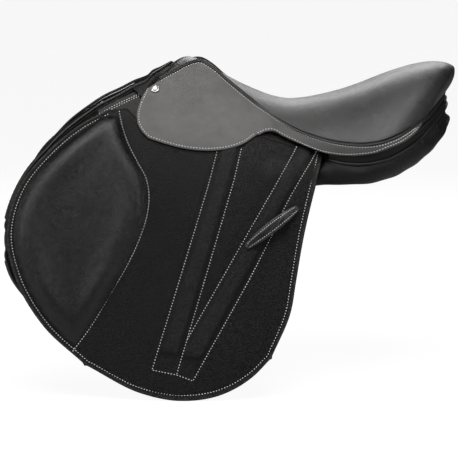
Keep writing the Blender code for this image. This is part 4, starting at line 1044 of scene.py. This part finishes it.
_, _, seat_top, seat_out = seat_patch(0, SEAT_ROWS - 1, 300, 1.0, 170)
seat = sheet("seat_leather", seat_top, seat_top - seat_out * COVER, "seat", "saddle",
             ["seat_cover"], "soft_leather", bulge=0.3)
shares_s, shares_b, foam_top, foam_out = seat_patch(FOAM_FIRST, SEAT_ROWS - 2, 110, 1.0, 80)
foam_low = foam_top + foam_reach(shares_s, shares_b)
sheet("seat_padding", foam_top - foam_out * (COVER + GAP), foam_low, "foam", "saddle",
      ["seat_foam"], "foam", bulge=0.1)
shares_s, shares_b, web_top, _ = seat_patch(RAIL_FIRST + 2, CANTLE_FIRST - 1, 90,
                                            RAIL_INNER * WEB_SPAN, 60)
web_top = web_top + foam_reach(shares_s, shares_b) - np.array((0.0, 0.0, TREE_ROOM + LAYER_GAP))
web_top = web_top - np.stack((shares_b * 0, shares_b * TREE_ROOM, shares_b * 0), -1)
sheet("seat_webbing", web_top, web_top - np.array((0.0, 0.0, WEB)), "webbing", "saddle",
      ["seat_webs"], "webbing", bulge=0.1)


# The double welt between the seat and the skirts, over the pommel and down to the strip's tip

UP = np.array((0.0, 0.0, 1.0))
WELT_FIRST, WELT_LAST, WELT_POINTS = 0.045, 0.999, 620
WELT_DRIFT = 0.0030      # how far the lower welt slips down from the crest along the strip


def bead(name, path, radius, out=UP, material="trim", taper=0.01):
    """A round bead on the saddle, thinner at its ends over a share of its length."""
    points, faces = tube(path, radius, out, taper)
    made(name, points, oriented(points, faces), material, "saddle")


welt_t = np.linspace(WELT_FIRST, WELT_LAST, WELT_POINTS)
crest_line, crest_out = on_skirt_top(np.zeros(WELT_POINTS), welt_t)
crest_in = unit(np.cross(np.gradient(crest_line, axis=0), crest_out))
crest_in *= np.where(crest_in[:, 2:] < 0, -1.0, 1.0)
welt_drift = (WELT_DRIFT * ease((welt_t - 0.30) / 0.25) * ease((1.0 - welt_t) / 0.10))[:, None]
for label, side in SIDES:
    flip = mirror(side)
    for name, lift, inwards, radius in (("low_", 0.0004, 0.0002 - welt_drift, 0.0015),
                                        ("high_", 0.0006, 0.0026, 0.0014)):
        line = (crest_line + crest_out * lift + crest_in * inwards) * flip
        bead("seat_welt_" + name + label, line, radius, crest_out * flip)


# Keepers for the ends of the stirrup leathers

KEEPER_FRONT, KEEPER_REAR = np.array((-0.0713, -0.0970)), np.array((-0.0003, -0.0450))
KEEPER_WIDTH, KEEPER_THICKNESS, KEEPER_RISE = 0.014, 0.0025, 0.0080
KEEPER_STITCH = 0.66     # share of the half width at which its stitching runs
keeper_run = KEEPER_REAR - KEEPER_FRONT
keeper_across = np.array((-keeper_run[1], keeper_run[0])) / np.linalg.norm(keeper_run)


def keeper_place(t, v):
    """x, z places on the keeper, at t along it and v across it, -1 to 1."""
    width = (0.30 + 0.70 * np.sin(math.pi * np.clip(t, 0.0, 1.0))**0.5) * KEEPER_WIDTH / 2
    return KEEPER_FRONT + keeper_run * t[..., None] + keeper_across * (v * width)[..., None]


def keeper_height(t, v):
    rise = KEEPER_RISE * ease(t / 0.3) * ease((1 - t) / 0.3)
    crown = 0.0011 * (1.0 - v**2) * ease(t / 0.1) * ease((1 - t) / 0.1)
    return rise + crown + KEEPER_THICKNESS + GAP


keeper_t, keeper_v = np.meshgrid(even(90), np.linspace(-1.0, 1.0, 22), indexing="ij")
keeper_grid = keeper_place(keeper_t, keeper_v)
keeper_lift = keeper_height(keeper_t, keeper_v) + flap_relief(keeper_grid)
keeper_lift -= 0.0006 * bell(np.abs(keeper_v) - 0.70, 0.10)
keeper_edge = np.minimum(1.0 - np.abs(keeper_v), np.minimum(keeper_t, 1 - keeper_t) * 8)
for label, side in SIDES:
    keeper = side_sheet("keeper_leather_" + label, keeper_grid, FLAP_FACE - keeper_lift,
                        FLAP_FACE - keeper_lift + KEEPER_THICKNESS, side, "trim",
                        "flap_" + label, ["leather_keeper_" + label])
    wear(keeper, 0.5 * bell(keeper_edge, 0.10))
    rows = []
    for place in (-KEEPER_STITCH, KEEPER_STITCH):
        t, v = np.linspace(0.03, 0.97, 120), np.full(120, place)
        line = keeper_place(t, v)
        lift = keeper_height(t, v) + flap_relief(line) - THREAD_SINK
        rows.append(side_stitches(line, FLAP_FACE - lift, side, pitch=0.0034, length=0.0025,
                                  radius=0.00042))
    sewn("keeper_stitching_" + label, rows, "flap_" + label)


# Flap heads, girth straps and the webs they hang from

FLAP_HEAD_HEIGHT, FLAP_HEAD = 0.008, 0.0048
WEB_FACE = SKIRT + FLAP_HEAD + 2 * GAP
STRAP_WIDTH, STRAP_END_DEPTH = 0.026, 0.012
# Name, top, bottom, and how long the web above it is and how far it leans to the rear
STRAPS = (("front", (-0.1000, 0.0060), (-0.1745, -0.2380), 0.063, 0.008),
          ("rear", (0.0060, 0.0100), (-0.1290, -0.2300), 0.033, -0.010))
STRAP_ROOM, STRAP_SHOULDER = 0.0009, 0.6
WEB_RAMP, WEB_RAMP_END = 0.5, 0.9
STRAP_STITCH = 0.80      # share of the half width at which its stitching runs
HOLE_PITCH, HOLE_COUNT, HOLE_FIRST = 0.020, 8, 0.030
# A punched hole as radius and height pairs: a pressed rim round a shallow pit, dark with painted
# shade
HOLE = ((0.0036, -0.0006), (0.0034, 0.0001), (0.0029, 0.00035), (0.0025, 0.0001),
        (0.0024, -0.0008), (0.0003, -0.0010))


def strap_outline(length):
    """Distances down a strap and its half width at each: a cut top and a pointed lower end."""
    down = np.concatenate((np.linspace(0.0, length, 110),
                           length + STRAP_END_DEPTH * np.linspace(0.08, 1.0, 14)))
    top = STRAP_SHOULDER + (1 - STRAP_SHOULDER) * np.clip(down / 0.020, 0.0, 1.0)
    tip = np.sqrt(np.clip(1.0 - (np.clip(down - length, 0.0, None) / STRAP_END_DEPTH)**2,
                          0.12, 1.0))
    return down, STRAP_WIDTH / 2 * top * tip


strap_shares = np.linspace(-1.0, 1.0, 19)


def strap_grid(middle, across, half):
    """Places over a strap, from its middle line and its half width at each of the line's points."""
    return middle[:, None] + across[None, None] * (half[:, None] * strap_shares[None])[..., None]


def girth_strap(ending, side, start, along, across, length):
    """A strap with two stitch lines and its row of holes."""
    body = "strap_" + ending
    down, half = strap_outline(length)
    grid = strap_grid(start + along * down[:, None], across, half)
    strap = side_sheet("girth_strap_leather_" + ending, grid, STRAP_FACE + SHEET_ROOM,
                       STRAP_BACK - SHEET_ROOM, side, "strap", body, ["girth_strap_" + ending],
                       bulge=0.35)
    wear(strap, 0.4 * np.broadcast_to(np.abs(strap_shares)**14, grid.shape[:2]))
    run = np.linspace(0.004, length - 0.004, 300)
    width = np.interp(run, down, half)
    lines = [start + along * run[:, None] + across * (v * width)[:, None]
             for v in (-STRAP_STITCH, STRAP_STITCH)]
    sewn("girth_strap_stitching_" + ending,
         [side_stitches(line, STRAP_FACE + 0.0003, side) for line in lines], body)
    holes = []
    for k in range(HOLE_COUNT):
        spot = start + along * (length - HOLE_FIRST - HOLE_PITCH * k)
        holes.append(turned(HOLE, on_side(spot, STRAP_FACE + SHEET_ROOM, side),
                            side_normal(spot[0], spot[1]) * mirror(side), 24))
    # the holes' dark pits are painted shade
    made("girth_strap_holes_" + ending, *joined(holes), "hole", body)


def girth_webbing(ending, side, start, along, across, length, lean):
    """The web that a strap hangs from. It comes up to just below the skirt."""
    t = even(40)
    middle = start - along * (STRAP_ROOM + length * t)[:, None]
    middle[:, 0] += lean * t
    rise = ease((t - WEB_RAMP) / (WEB_RAMP_END - WEB_RAMP))
    face = (STRAP_FACE + (WEB_FACE - STRAP_FACE) * rise)[:, None]
    spread = STRAP_SHOULDER + (1 - STRAP_SHOULDER) * np.clip(t / 0.15, 0.0, 1.0)
    side_sheet("girth_webbing_" + ending, strap_grid(middle, across, STRAP_WIDTH / 2 * spread),
               face, face + STRAP_BACK - STRAP_FACE, side, "webbing", "saddle",
               ["girth_web_" + ending], "webbing", bulge=0.2)


head_x = np.linspace(NOTCH_REAR, HINGE_REAR[0], 60)
head_z = hinge_z(head_x)[None] + HINGE_GAP + FLAP_HEAD_HEIGHT * (1.0 - even(10)[:, None])
head_grid = np.stack((np.broadcast_to(head_x, head_z.shape), head_z), -1)
for label, side in SIDES:
    side_sheet("flap_head_leather_" + label, head_grid, FLAP_FACE - flap_relief(head_grid),
               SKIRT + GAP + FLAP_HEAD, side, "flap", "saddle", ["flap_head_" + label], bulge=0.3)
    for name, top, bottom, web_length, web_lean in STRAPS:
        start, run = np.array(top), np.subtract(bottom, top)
        length = np.linalg.norm(run)
        along = run / length
        across = np.array((-along[1], along[0]))
        ending = name + "_" + label
        girth_strap(ending, side, start, along, across, length)
        girth_webbing(ending, side, start, along, across, web_length, web_lean)


# Sweat flaps and the grained facings in the corners ahead of the skirts

SWEAT_TOP = ((-0.2835, 0.0850), (-0.2450, 0.0550), (-0.2000, 0.0180), (-0.1000, -0.0020),
             (0.0050, -0.0180))
SWEAT_FRONT = ((-0.2835, 0.0850), (-0.3244, 0.0572), (-0.3736, 0.0051), (-0.3990, -0.0542),
               (-0.4030, -0.0786), (-0.3940, -0.1320), (-0.3560, -0.1850))
SWEAT_BOTTOM = ((-0.3560, -0.1850), (-0.3000, -0.2230), (-0.2200, -0.2480), (-0.1500, -0.2480),
                (-0.0900, -0.2300))
SWEAT_REAR = ((0.0050, -0.0180), (-0.0150, -0.0800), (-0.0450, -0.1600), (-0.0900, -0.2300))
FACING_TOP = ((-0.2060, 0.1230), (-0.2280, 0.1135), (-0.2500, 0.1030), (-0.2740, 0.0900))
FACING_BOTTOM = ((-0.2100, 0.0700), (-0.2640, 0.0660))
FACING_FACE, FACING, BACKING = FLAP_BACK + LAYER_GAP, 0.0025, 0.0008
SWEAT_STITCH, SWEAT_STEP = 0.0045, 0.0015
FACING_STITCHES = (0.0058, 0.0088)       # below the facing's top edge

sweat_grid = coons(smooth(SWEAT_TOP), smooth(SWEAT_BOTTOM), smooth(SWEAT_FRONT),
                   smooth(SWEAT_REAR), even(120), even(120))
sweat_edge = round_edge(SWEAT_FRONT, SWEAT_BOTTOM, SWEAT_REAR, 300, SWEAT_STEP)
sweat_stitch = resample(inset(sweat_edge, SWEAT_STITCH), SWEAT_STEP)
sweat_dress, sweat_to_edge = dressing_of_edge(sweat_grid, sweat_edge[::3], sweat_stitch[::3])
facing_grid = coons(smooth(FACING_TOP), smooth(FACING_BOTTOM),
                    smooth((FACING_TOP[0], FACING_BOTTOM[0])),
                    smooth((FACING_TOP[-1], FACING_BOTTOM[-1])), even(60), even(36))
facing_top = smooth(FACING_TOP)(even(200))
for label, side in SIDES:
    flap = side_sheet("sweat_flap_leather_" + label, sweat_grid, SWEAT_FACE - sweat_dress,
                      SWEAT_BACK, side, "under", "saddle", ["sweat_flap_" + label])
    wear(flap, 0.25 * bell(sweat_to_edge, EDGE_WEAR))
    sewn("sweat_flap_stitching_" + label,
         [side_stitches(sweat_stitch, SWEAT_FACE + 0.0002, side)], "saddle", "dull_thread")
    side_sheet("facing_leather_" + label, facing_grid, FACING_FACE, FACING_FACE + FACING, side,
               "facing", "saddle", ["front_facing_" + label], bulge=0.4)
    back = FACING_FACE + FACING + SHEET_ROOM
    side_sheet("facing_backing_" + label, facing_grid, back, back + BACKING, side, "under",
               "saddle", bulge=0.2)
    sewn("facing_stitching_" + label,
         [side_stitches(facing_top - np.array((0.0, low)), FACING_FACE, side)
          for low in FACING_STITCHES], "saddle")


# Piping from the pommel down the front of each panel, the cover behind it and the head's lining

PIPING = ((-0.1712, 0.0000, 0.1478), (-0.1862, 0.0215, 0.1388), (-0.2007, 0.0460, 0.1306),
          (-0.2058, 0.0560, 0.1251), (-0.2279, 0.0720, 0.1153), (-0.2478, 0.0845, 0.1045),
          (-0.2717, 0.0946, 0.0929), (-0.2993, 0.1060, 0.0745), (-0.3263, 0.1180, 0.0532),
          (-0.3450, 0.1270, 0.0338), (-0.3654, 0.1350, 0.0115), (-0.3815, 0.1430, -0.0128),
          (-0.3909, 0.1490, -0.0343), (-0.3963, 0.1535, -0.0545))
COVER_FOOT = ((-0.1630, 0.0000, 0.1435), (-0.1740, 0.0230, 0.1352), (-0.1900, 0.0440, 0.1240),
              (-0.2040, 0.0680, 0.1150), (-0.2120, 0.0860, 0.1010))
LINING_FOOT = ((-0.1670, 0.0000, 0.1190), (-0.1760, 0.0190, 0.1130), (-0.1880, 0.0350, 0.1010),
               (-0.2010, 0.0470, 0.0880), (-0.2140, 0.0560, 0.0740))

front_run = resample(smooth(SWEAT_FRONT)(even(300)), 0.004)
front_run = front_run[(front_run[:, 1] < PIPING[-1][2] - 0.012) & (front_run[:, 1] > -0.180)]
front_run = on_side(inset(front_run, 0.0020), SWEAT_FACE - 0.0022, RIGHT)
piping = smooth(np.concatenate((PIPING, front_run)))(even(760))
piping_low = smooth(PIPING)(even(500)) - np.array((0.0, 0.0, 0.0045))
upper_piping = smooth(PIPING[:5])(even(120))
cover, cover_rows = ruled(upper_piping, smooth(COVER_FOOT)(even(120)), 24)
cover = cover + outward(grid_normals(cover)) * (np.sin(math.pi * cover_rows) * 0.0012)
lining, lining_rows = ruled(upper_piping, smooth(LINING_FOOT)(even(120)), 24)
lining = lining + np.array((-0.0035, 0.0, 0.0)) * np.sin(math.pi * lining_rows)
for label, side in SIDES:
    flip = mirror(side)
    bead("front_piping_" + label, piping * flip, 0.0021, taper=0.004)
    bead("front_piping_lower_" + label, piping_low * flip, 0.0016, UP, "panel", 0.004)
    for name, face, back in (("pommel_cover_", cover, (0.0, 0.0, -0.0018)),
                             ("head_lining_", lining, (0.0020, 0.0, 0.0))):
        sheet(name + label, face * flip, face * flip + np.array(back), "panel", "saddle",
              bulge=0.2)


# The band that closes the tree's edge round the cantle, with piping above and below

BAND_TOP = ((0.0450, 0.1330, 0.0280), (0.0600, 0.1410, 0.0260), (0.0890, 0.1490, 0.0260),
            (0.1250, 0.1515, 0.0350), (0.1500, 0.1410, 0.0470), (0.1750, 0.1190, 0.0610),
            (0.1950, 0.0930, 0.0740), (0.2120, 0.0620, 0.0880), (0.2220, 0.0300, 0.0960),
            (0.2250, 0.0000, 0.0980))
BAND_BOTTOM = ((0.0450, 0.1290, 0.0180), (0.0600, 0.1380, 0.0145), (0.0890, 0.1460, 0.0130),
               (0.1250, 0.1480, 0.0200), (0.1500, 0.1380, 0.0320), (0.1750, 0.1170, 0.0470),
               (0.1950, 0.0930, 0.0630), (0.2120, 0.0630, 0.0780), (0.2225, 0.0300, 0.0870),
               (0.2255, 0.0000, 0.0890))
BAND, BAND_CENTRE, BAND_BOW = 0.003, 0.05, 0.0010


def both_sides(points):
    """A right-hand outline that ends on the centre plane, with its mirror image before it."""
    points = np.array(points)
    return np.concatenate((points[:-1] * mirror(LEFT), points[::-1]))


band_top = smooth(both_sides(BAND_TOP))(even(420))
band_bottom = smooth(both_sides(BAND_BOTTOM))(even(420))
band, band_rows = ruled(band_top, band_bottom, 16)
band_out = unit(np.gradient(band, axis=1)[..., [1, 0, 2]] * np.array((1.0, -1.0, 0.0)))
band_out = turned_away(band_out, band, (BAND_CENTRE, 0.0, 0.0))
band = band + band_out * BAND_BOW * np.sin(math.pi * band_rows)
sheet("cantle_band_leather", band, band - band_out * BAND, "panel", "saddle",
      ["cantle_band"], "soft_leather", bulge=0.3)

# The seat's leather comes down behind the rim to the band, with a bead along its edge
RIM_FOOT = ((0.1700, 0.1225, 0.0665), (0.1900, 0.0975, 0.0805), (0.2020, 0.0775, 0.0905),
            (0.2115, 0.0555, 0.0980), (0.2185, 0.0320, 0.1030), (0.2235, 0.0000, 0.1065))
BAND_REACH = ((0.1690, 0.1240, 0.0600), (0.1880, 0.1020, 0.0715), (0.2010, 0.0810, 0.0810),
              (0.2115, 0.0590, 0.0890), (0.2205, 0.0310, 0.0965), (0.2240, 0.0000, 0.0985))

rim_top, rim_low = (smooth(both_sides(line))(even(260)) for line in (RIM_FOOT, BAND_REACH))
rim, rim_rows = ruled(rim_top, rim_low, 14)
rim_out = unit(np.stack((rim[..., 0] - BAND_CENTRE, rim[..., 1], 0 * rim[..., 2]), -1))
rim = rim + rim_out * BAND_BOW * np.sin(math.pi * rim_rows)
sheet("cantle_cover", rim, rim - rim_out * COVER, "seat", "saddle", bulge=0.2)
for name, line, out, lift, radius in (
        ("cantle_seat_bead", rim_top, rim_out[0], 0.0012, 0.0014),
        ("cantle_piping_top", band_top, band_out[0], 0.0004, 0.0014),
        ("cantle_piping_low", band_bottom, band_out[0], 0.0008, 0.0020)):
    bead(name, line + out * lift, radius, out)


# Panels: stuffed sections with a flat bearing face; behind the flaps the outer wall rises to the
# band as a gusset, gathered into pleats towards the cantle

# x, then y and z of the inner and the outer lower corner, then the thickness. An outer y that is
# left out follows the sweat flap.
PANEL_STATIONS = (
    (-0.2320, 0.0540, 0.0640, 0.0800, 0.0200, 0.010),
    (-0.2200, 0.0440, 0.0720, 0.0920, -0.0050, 0.015),
    (-0.1850, 0.0390, 0.0700, None, -0.0320, 0.020),
    (-0.1300, 0.0350, 0.0540, None, -0.0420, 0.024),
    (-0.0650, 0.0335, 0.0380, None, -0.0400, 0.025),
    (0.0000, 0.0330, 0.0300, None, -0.0260, 0.025),
    (0.0300, 0.0330, 0.0290, None, -0.0200, 0.025),
    (0.0480, 0.0330, 0.0290, 0.1280, -0.0170, 0.024),
    (0.0680, 0.0330, 0.0290, 0.1400, -0.0150, 0.023),
    (0.1150, 0.0330, 0.0290, 0.1400, -0.0150, 0.023),
    (0.1450, 0.0330, 0.0370, 0.1330, -0.0060, 0.025),
    (0.1750, 0.0340, 0.0490, 0.1130, 0.0100, 0.026),
    (0.2000, 0.0370, 0.0620, 0.0930, 0.0300, 0.022),
    (0.2140, 0.0430, 0.0690, 0.0750, 0.0500, 0.015),
    (0.2200, 0.0520, 0.0720, 0.0660, 0.0620, 0.007),
)
PANEL_ROOM = 0.0012      # from the sweat flap to the panel's wall
GUSSET = (0.020, 0.056)  # x between which the wall comes up to the band
GUSSET_END = (0.2165, 0.2199)            # x between which it ends again
PANEL_REACH, PANEL_DROP = 0.0030, 0.0035     # fullness of the stuffing at the rear and below
PANEL_SOFTENING = 260    # passes that smooth the panel's run between its stations
PANEL_RUNS, PANEL_COUNT, PANEL_ENDS = 230, 96, 10    # rings, points in one, rings that close an end
PLEAT, SOFT_SWELL = 0.0016, 0.0008       # heights of the pleats and of the soft unevenness


def layer_y(x, z, depth):
    """Distance from the centre plane, at x, z, of the face at a depth below the side."""
    place = np.array((x, z), float)
    for _ in range(12):
        found = on_side(place, depth, RIGHT)
        place = place + np.array((x - found[0], z - found[2]))
    return float(found[1])


stations = []
for x, inner_y, inner_z, outer_y, outer_z, thick in PANEL_STATIONS:
    if outer_y is None:
        outer_y = min(layer_y(x, outer_z + rise, SWEAT_BACK + PANEL_ROOM)
                      for rise in (-0.001, 0.5 * thick, thick))
    stations.append((x, inner_y, inner_z, outer_y, outer_z, thick))
panel_at = smooth(stations)
band_x, band_y, band_z = smooth(BAND_BOTTOM)(even(400)).T


def panel_section(values):
    """A closed ring of points in y, z at one place along the panel."""
    x, inner_y, inner_z, outer_y, outer_z, thick = values
    inner, outer = np.array((inner_y, inner_z)), np.array((outer_y, outer_z))
    width = np.linalg.norm(outer - inner)
    across = (outer - inner) / width
    up = np.array((-across[1], across[0]))
    corner = 0.30 * thick
    raised = (ease((x - GUSSET[0]) / (GUSSET[1] - GUSSET[0]))
              * (1.0 - ease((x - GUSSET_END[0]) / (GUSSET_END[1] - GUSSET_END[0]))))
    edge = np.array((np.interp(x, band_x, band_y) - 0.0012, np.interp(x, band_x, band_z) + 0.001))
    top_outer = outer + up * (thick - corner)
    top_outer = top_outer * (1 - raised) + edge * raised
    swell = 0.002 + 0.006 * raised
    middle = (outer + up * corner * 0.8 + top_outer) / 2 + np.array((1.0, -0.35)) * swell * 0.8
    marks = [inner + across * width * share for share in (0.12, 0.3, 0.5, 0.7, 0.86)]
    marks += [outer - across * corner * 0.55, outer + up * corner * 0.75 + across * 0.0008,
              middle, top_outer]
    marks += [top_outer - across * (corner + 0.010 * raised) + up * corner * (1 - raised) * 0.8]
    marks += [outer + up * thick * 1.02 - across * width * share for share in (0.45, 0.75)]
    marks += [inner + up * thick + across * corner, inner + up * thick * 0.5 - across * 0.0018,
              inner + up * corner * 0.3 + across * corner * 0.25]
    ring = np.array(marks + marks[:1])
    wrapped = np.concatenate((ring[-3:-1], ring, ring[1:3]))
    lengths = distances(wrapped)
    first, last = lengths[2], lengths[-3]
    share = (first + (last - first) * np.arange(PANEL_COUNT) / PANEL_COUNT) / lengths[-1]
    return smooth(wrapped)(share)


panel_runs = panel_at(even(PANEL_RUNS))
panel_runs[:, 0] += PANEL_REACH * ease((panel_runs[:, 0] - 0.17) / 0.05)
panel_runs[:, 4] -= PANEL_DROP * bell(panel_runs[:, 0] - 0.090, 0.045)
for _ in range(PANEL_SOFTENING):
    panel_runs[1:-1] = (panel_runs[:-2] + 2 * panel_runs[1:-1] + panel_runs[2:]) / 4
panel_rings = np.array([np.insert(panel_section(values), 0, values[0], axis=1)
                        for values in panel_runs])
# The ends close over themselves like a stuffed cushion
for k in range(PANEL_ENDS):
    share = math.sqrt(1.0 - (1.0 - (k + 0.35) / (PANEL_ENDS + 0.35))**2)
    for n in (k, -1 - k):
        centre = panel_rings[n].mean(axis=0)
        panel_rings[n] = centre + (panel_rings[n] - centre) * np.array((1.0, share, share))
panel_away = unit(np.gradient(panel_rings, axis=0))
panel_round = unit(np.roll(panel_rings, -1, axis=1) - np.roll(panel_rings, 1, axis=1))
centres = panel_rings.mean(axis=1)[:, None]
panel_out = turned_away(unit(np.cross(panel_round, panel_away)), panel_rings, centres)
runs, height = panel_rings[..., 0], panel_rings[..., 2]
wall_top = np.interp(runs, band_x, band_z)
near_band = ease(1.0 - (wall_top - height) / 0.034) * (panel_rings[..., 1] > centres[..., 1])
pleat_zone = ease((runs - 0.095) / 0.05) * (1.0 - ease((runs - 0.212) / 0.01))
lean = runs * 1400.0 + height * 260.0 + 1.7 * np.sin(runs * 300.0) + 1.1 * np.sin(runs * 701.0)
pleats = (0.5 + 0.5 * np.sin(lean))**1.6 * (0.6 + 0.4 * np.sin(runs * 217.0 + 1.0))
soft = SOFT_SWELL * np.sin(runs * 90.0 + height * 40.0) * np.sin(height * 150.0 + runs * 30.0)
relief = PLEAT * pleats * pleat_zone * near_band + soft * ease((runs - 0.02) / 0.05)
panel_skin = (panel_rings + panel_out * relief[..., None]).reshape(-1, 3)
for label, side in SIDES:
    points = panel_skin * mirror(side)
    panel = made("panel_leather_" + label, points,
                 oriented(points, ring_faces(PANEL_RUNS, PANEL_COUNT)), "panel", "saddle",
                 ["panel_" + label], "soft_leather")


# Floor, backdrop, lights and camera

WHITE = (1.0, 1.0, 1.0)
FLOOR_HALF, FLOOR_DROP = 12.0, 0.002
FLOOR_GLOW, FLOOR_WHITE = 0.76, 1.22     # how far the camera sees plain light, and how strong
SKY_LIGHT, SKY_SEEN = 0.04, 0.93         # the sky's strength on the scene and to the camera


def lit_floor():
    """Studio paper that the camera sees partly as plain light, so that it looks white."""
    n = Nodes("studio_paper")
    fibre = n.noise(60.0, 4.0, 0.6)
    tone = n.mix(n.span(fibre, 0.3, 0.7, 0.0, 1.0), (0.50, 0.50, 0.50), (0.52, 0.52, 0.52))
    n.set(Base_Color=tone, Roughness=0.9, Specular_IOR_Level=0.1,
          Normal=n.bump(fibre, 0.05, 0.0003))
    glow = n.add("Emission", "Emission", {"Color": WHITE, "Strength": FLOOR_WHITE})
    share = n.product(n.add("LightPath", "Is Camera Ray"), FLOOR_GLOW)
    blend = n.add("MixShader", "Shader", {0: share, 1: n.shader.outputs["BSDF"], 2: glow})
    n.feed(n.tree.nodes["Material Output"].inputs["Surface"], blend)
    return n.material


floor_z = cad_box[0][2] - FLOOR_DROP
floor_mesh = bpy.data.meshes.new("studio_floor")
floor_mesh.from_pydata([(x * FLOOR_HALF, y * FLOOR_HALF, floor_z)
                        for x, y in ((-1, -1), (1, -1), (1, 1), (-1, 1))], [], [(0, 1, 2, 3)])
floor_mesh.materials.append(lit_floor())
floor = linked("studio_floor", floor_mesh)

world = bpy.data.worlds.new("studio")
bpy.context.scene.world = world
world.use_nodes = True
sky = world.node_tree
background = sky.nodes["Background"]
background.inputs["Color"].default_value = WHITE + (1.0,)
seen = sky.nodes.new("ShaderNodeLightPath")
strength = sky.nodes.new("ShaderNodeMapRange")
strength.inputs["To Min"].default_value = SKY_LIGHT
strength.inputs["To Max"].default_value = SKY_SEEN
sky.links.new(seen.outputs["Is Camera Ray"], strength.inputs["Value"])
sky.links.new(strength.outputs["Result"], background.inputs["Strength"])

LAMP_AIM = Vector((-0.08, 0.0, -0.05))
LAMPS = (   # name, place, width, height, power
    ("soft_top", (-0.15, -0.85, 1.80), 1.60, 1.60, 46.0),
    ("soft_front", (-1.90, -1.25, 0.85), 0.55, 1.20, 15.0),
    ("soft_back", (0.25, 1.90, 1.25), 1.20, 1.20, 16.0),
    ("soft_rear", (1.90, -1.45, 0.75), 0.50, 1.20, 13.0),
)
for name, place, width, height, power in LAMPS:
    light = bpy.data.lights.new(name, "AREA")
    light.shape = "RECTANGLE"
    light.size, light.size_y, light.energy = width, height, power
    lamp = linked(name, light)
    lamp.location = place
    lamp.rotation_euler = (LAMP_AIM - Vector(place)).to_track_quat("-Z", "Y").to_euler()

# Camera: the photograph's square frame, a little above the seat's side
AZIMUTH, ELEVATION = math.radians(-2.0), math.radians(8.0)
DISTANCE, SENSOR, NEAREST = 2.6, 36.0, 0.05
PIXEL, ORIGIN_X, ORIGIN_Y, FRAME = 0.00146, 290.0, 163.0, 458
back = Vector((math.sin(AZIMUTH) * math.cos(ELEVATION),
               -math.cos(AZIMUTH) * math.cos(ELEVATION), math.sin(ELEVATION)))
right = Vector((math.cos(AZIMUTH), math.sin(AZIMUTH), 0.0))
up = back.cross(right)
aim = right * (FRAME / 2 - ORIGIN_X) * PIXEL - up * (FRAME / 2 - ORIGIN_Y) * PIXEL
camera_data = bpy.data.cameras.new("camera")
camera_data.sensor_width = SENSOR
camera_data.lens = SENSOR * DISTANCE / (FRAME * PIXEL)
camera_data.clip_start = NEAREST
camera = linked("camera", camera_data)
camera.location = aim + back * DISTANCE
camera.rotation_euler = back.to_track_quat("Z", "Y").to_euler()
bpy.context.scene.camera = camera
bpy.context.scene.view_settings.view_transform = "Standard"
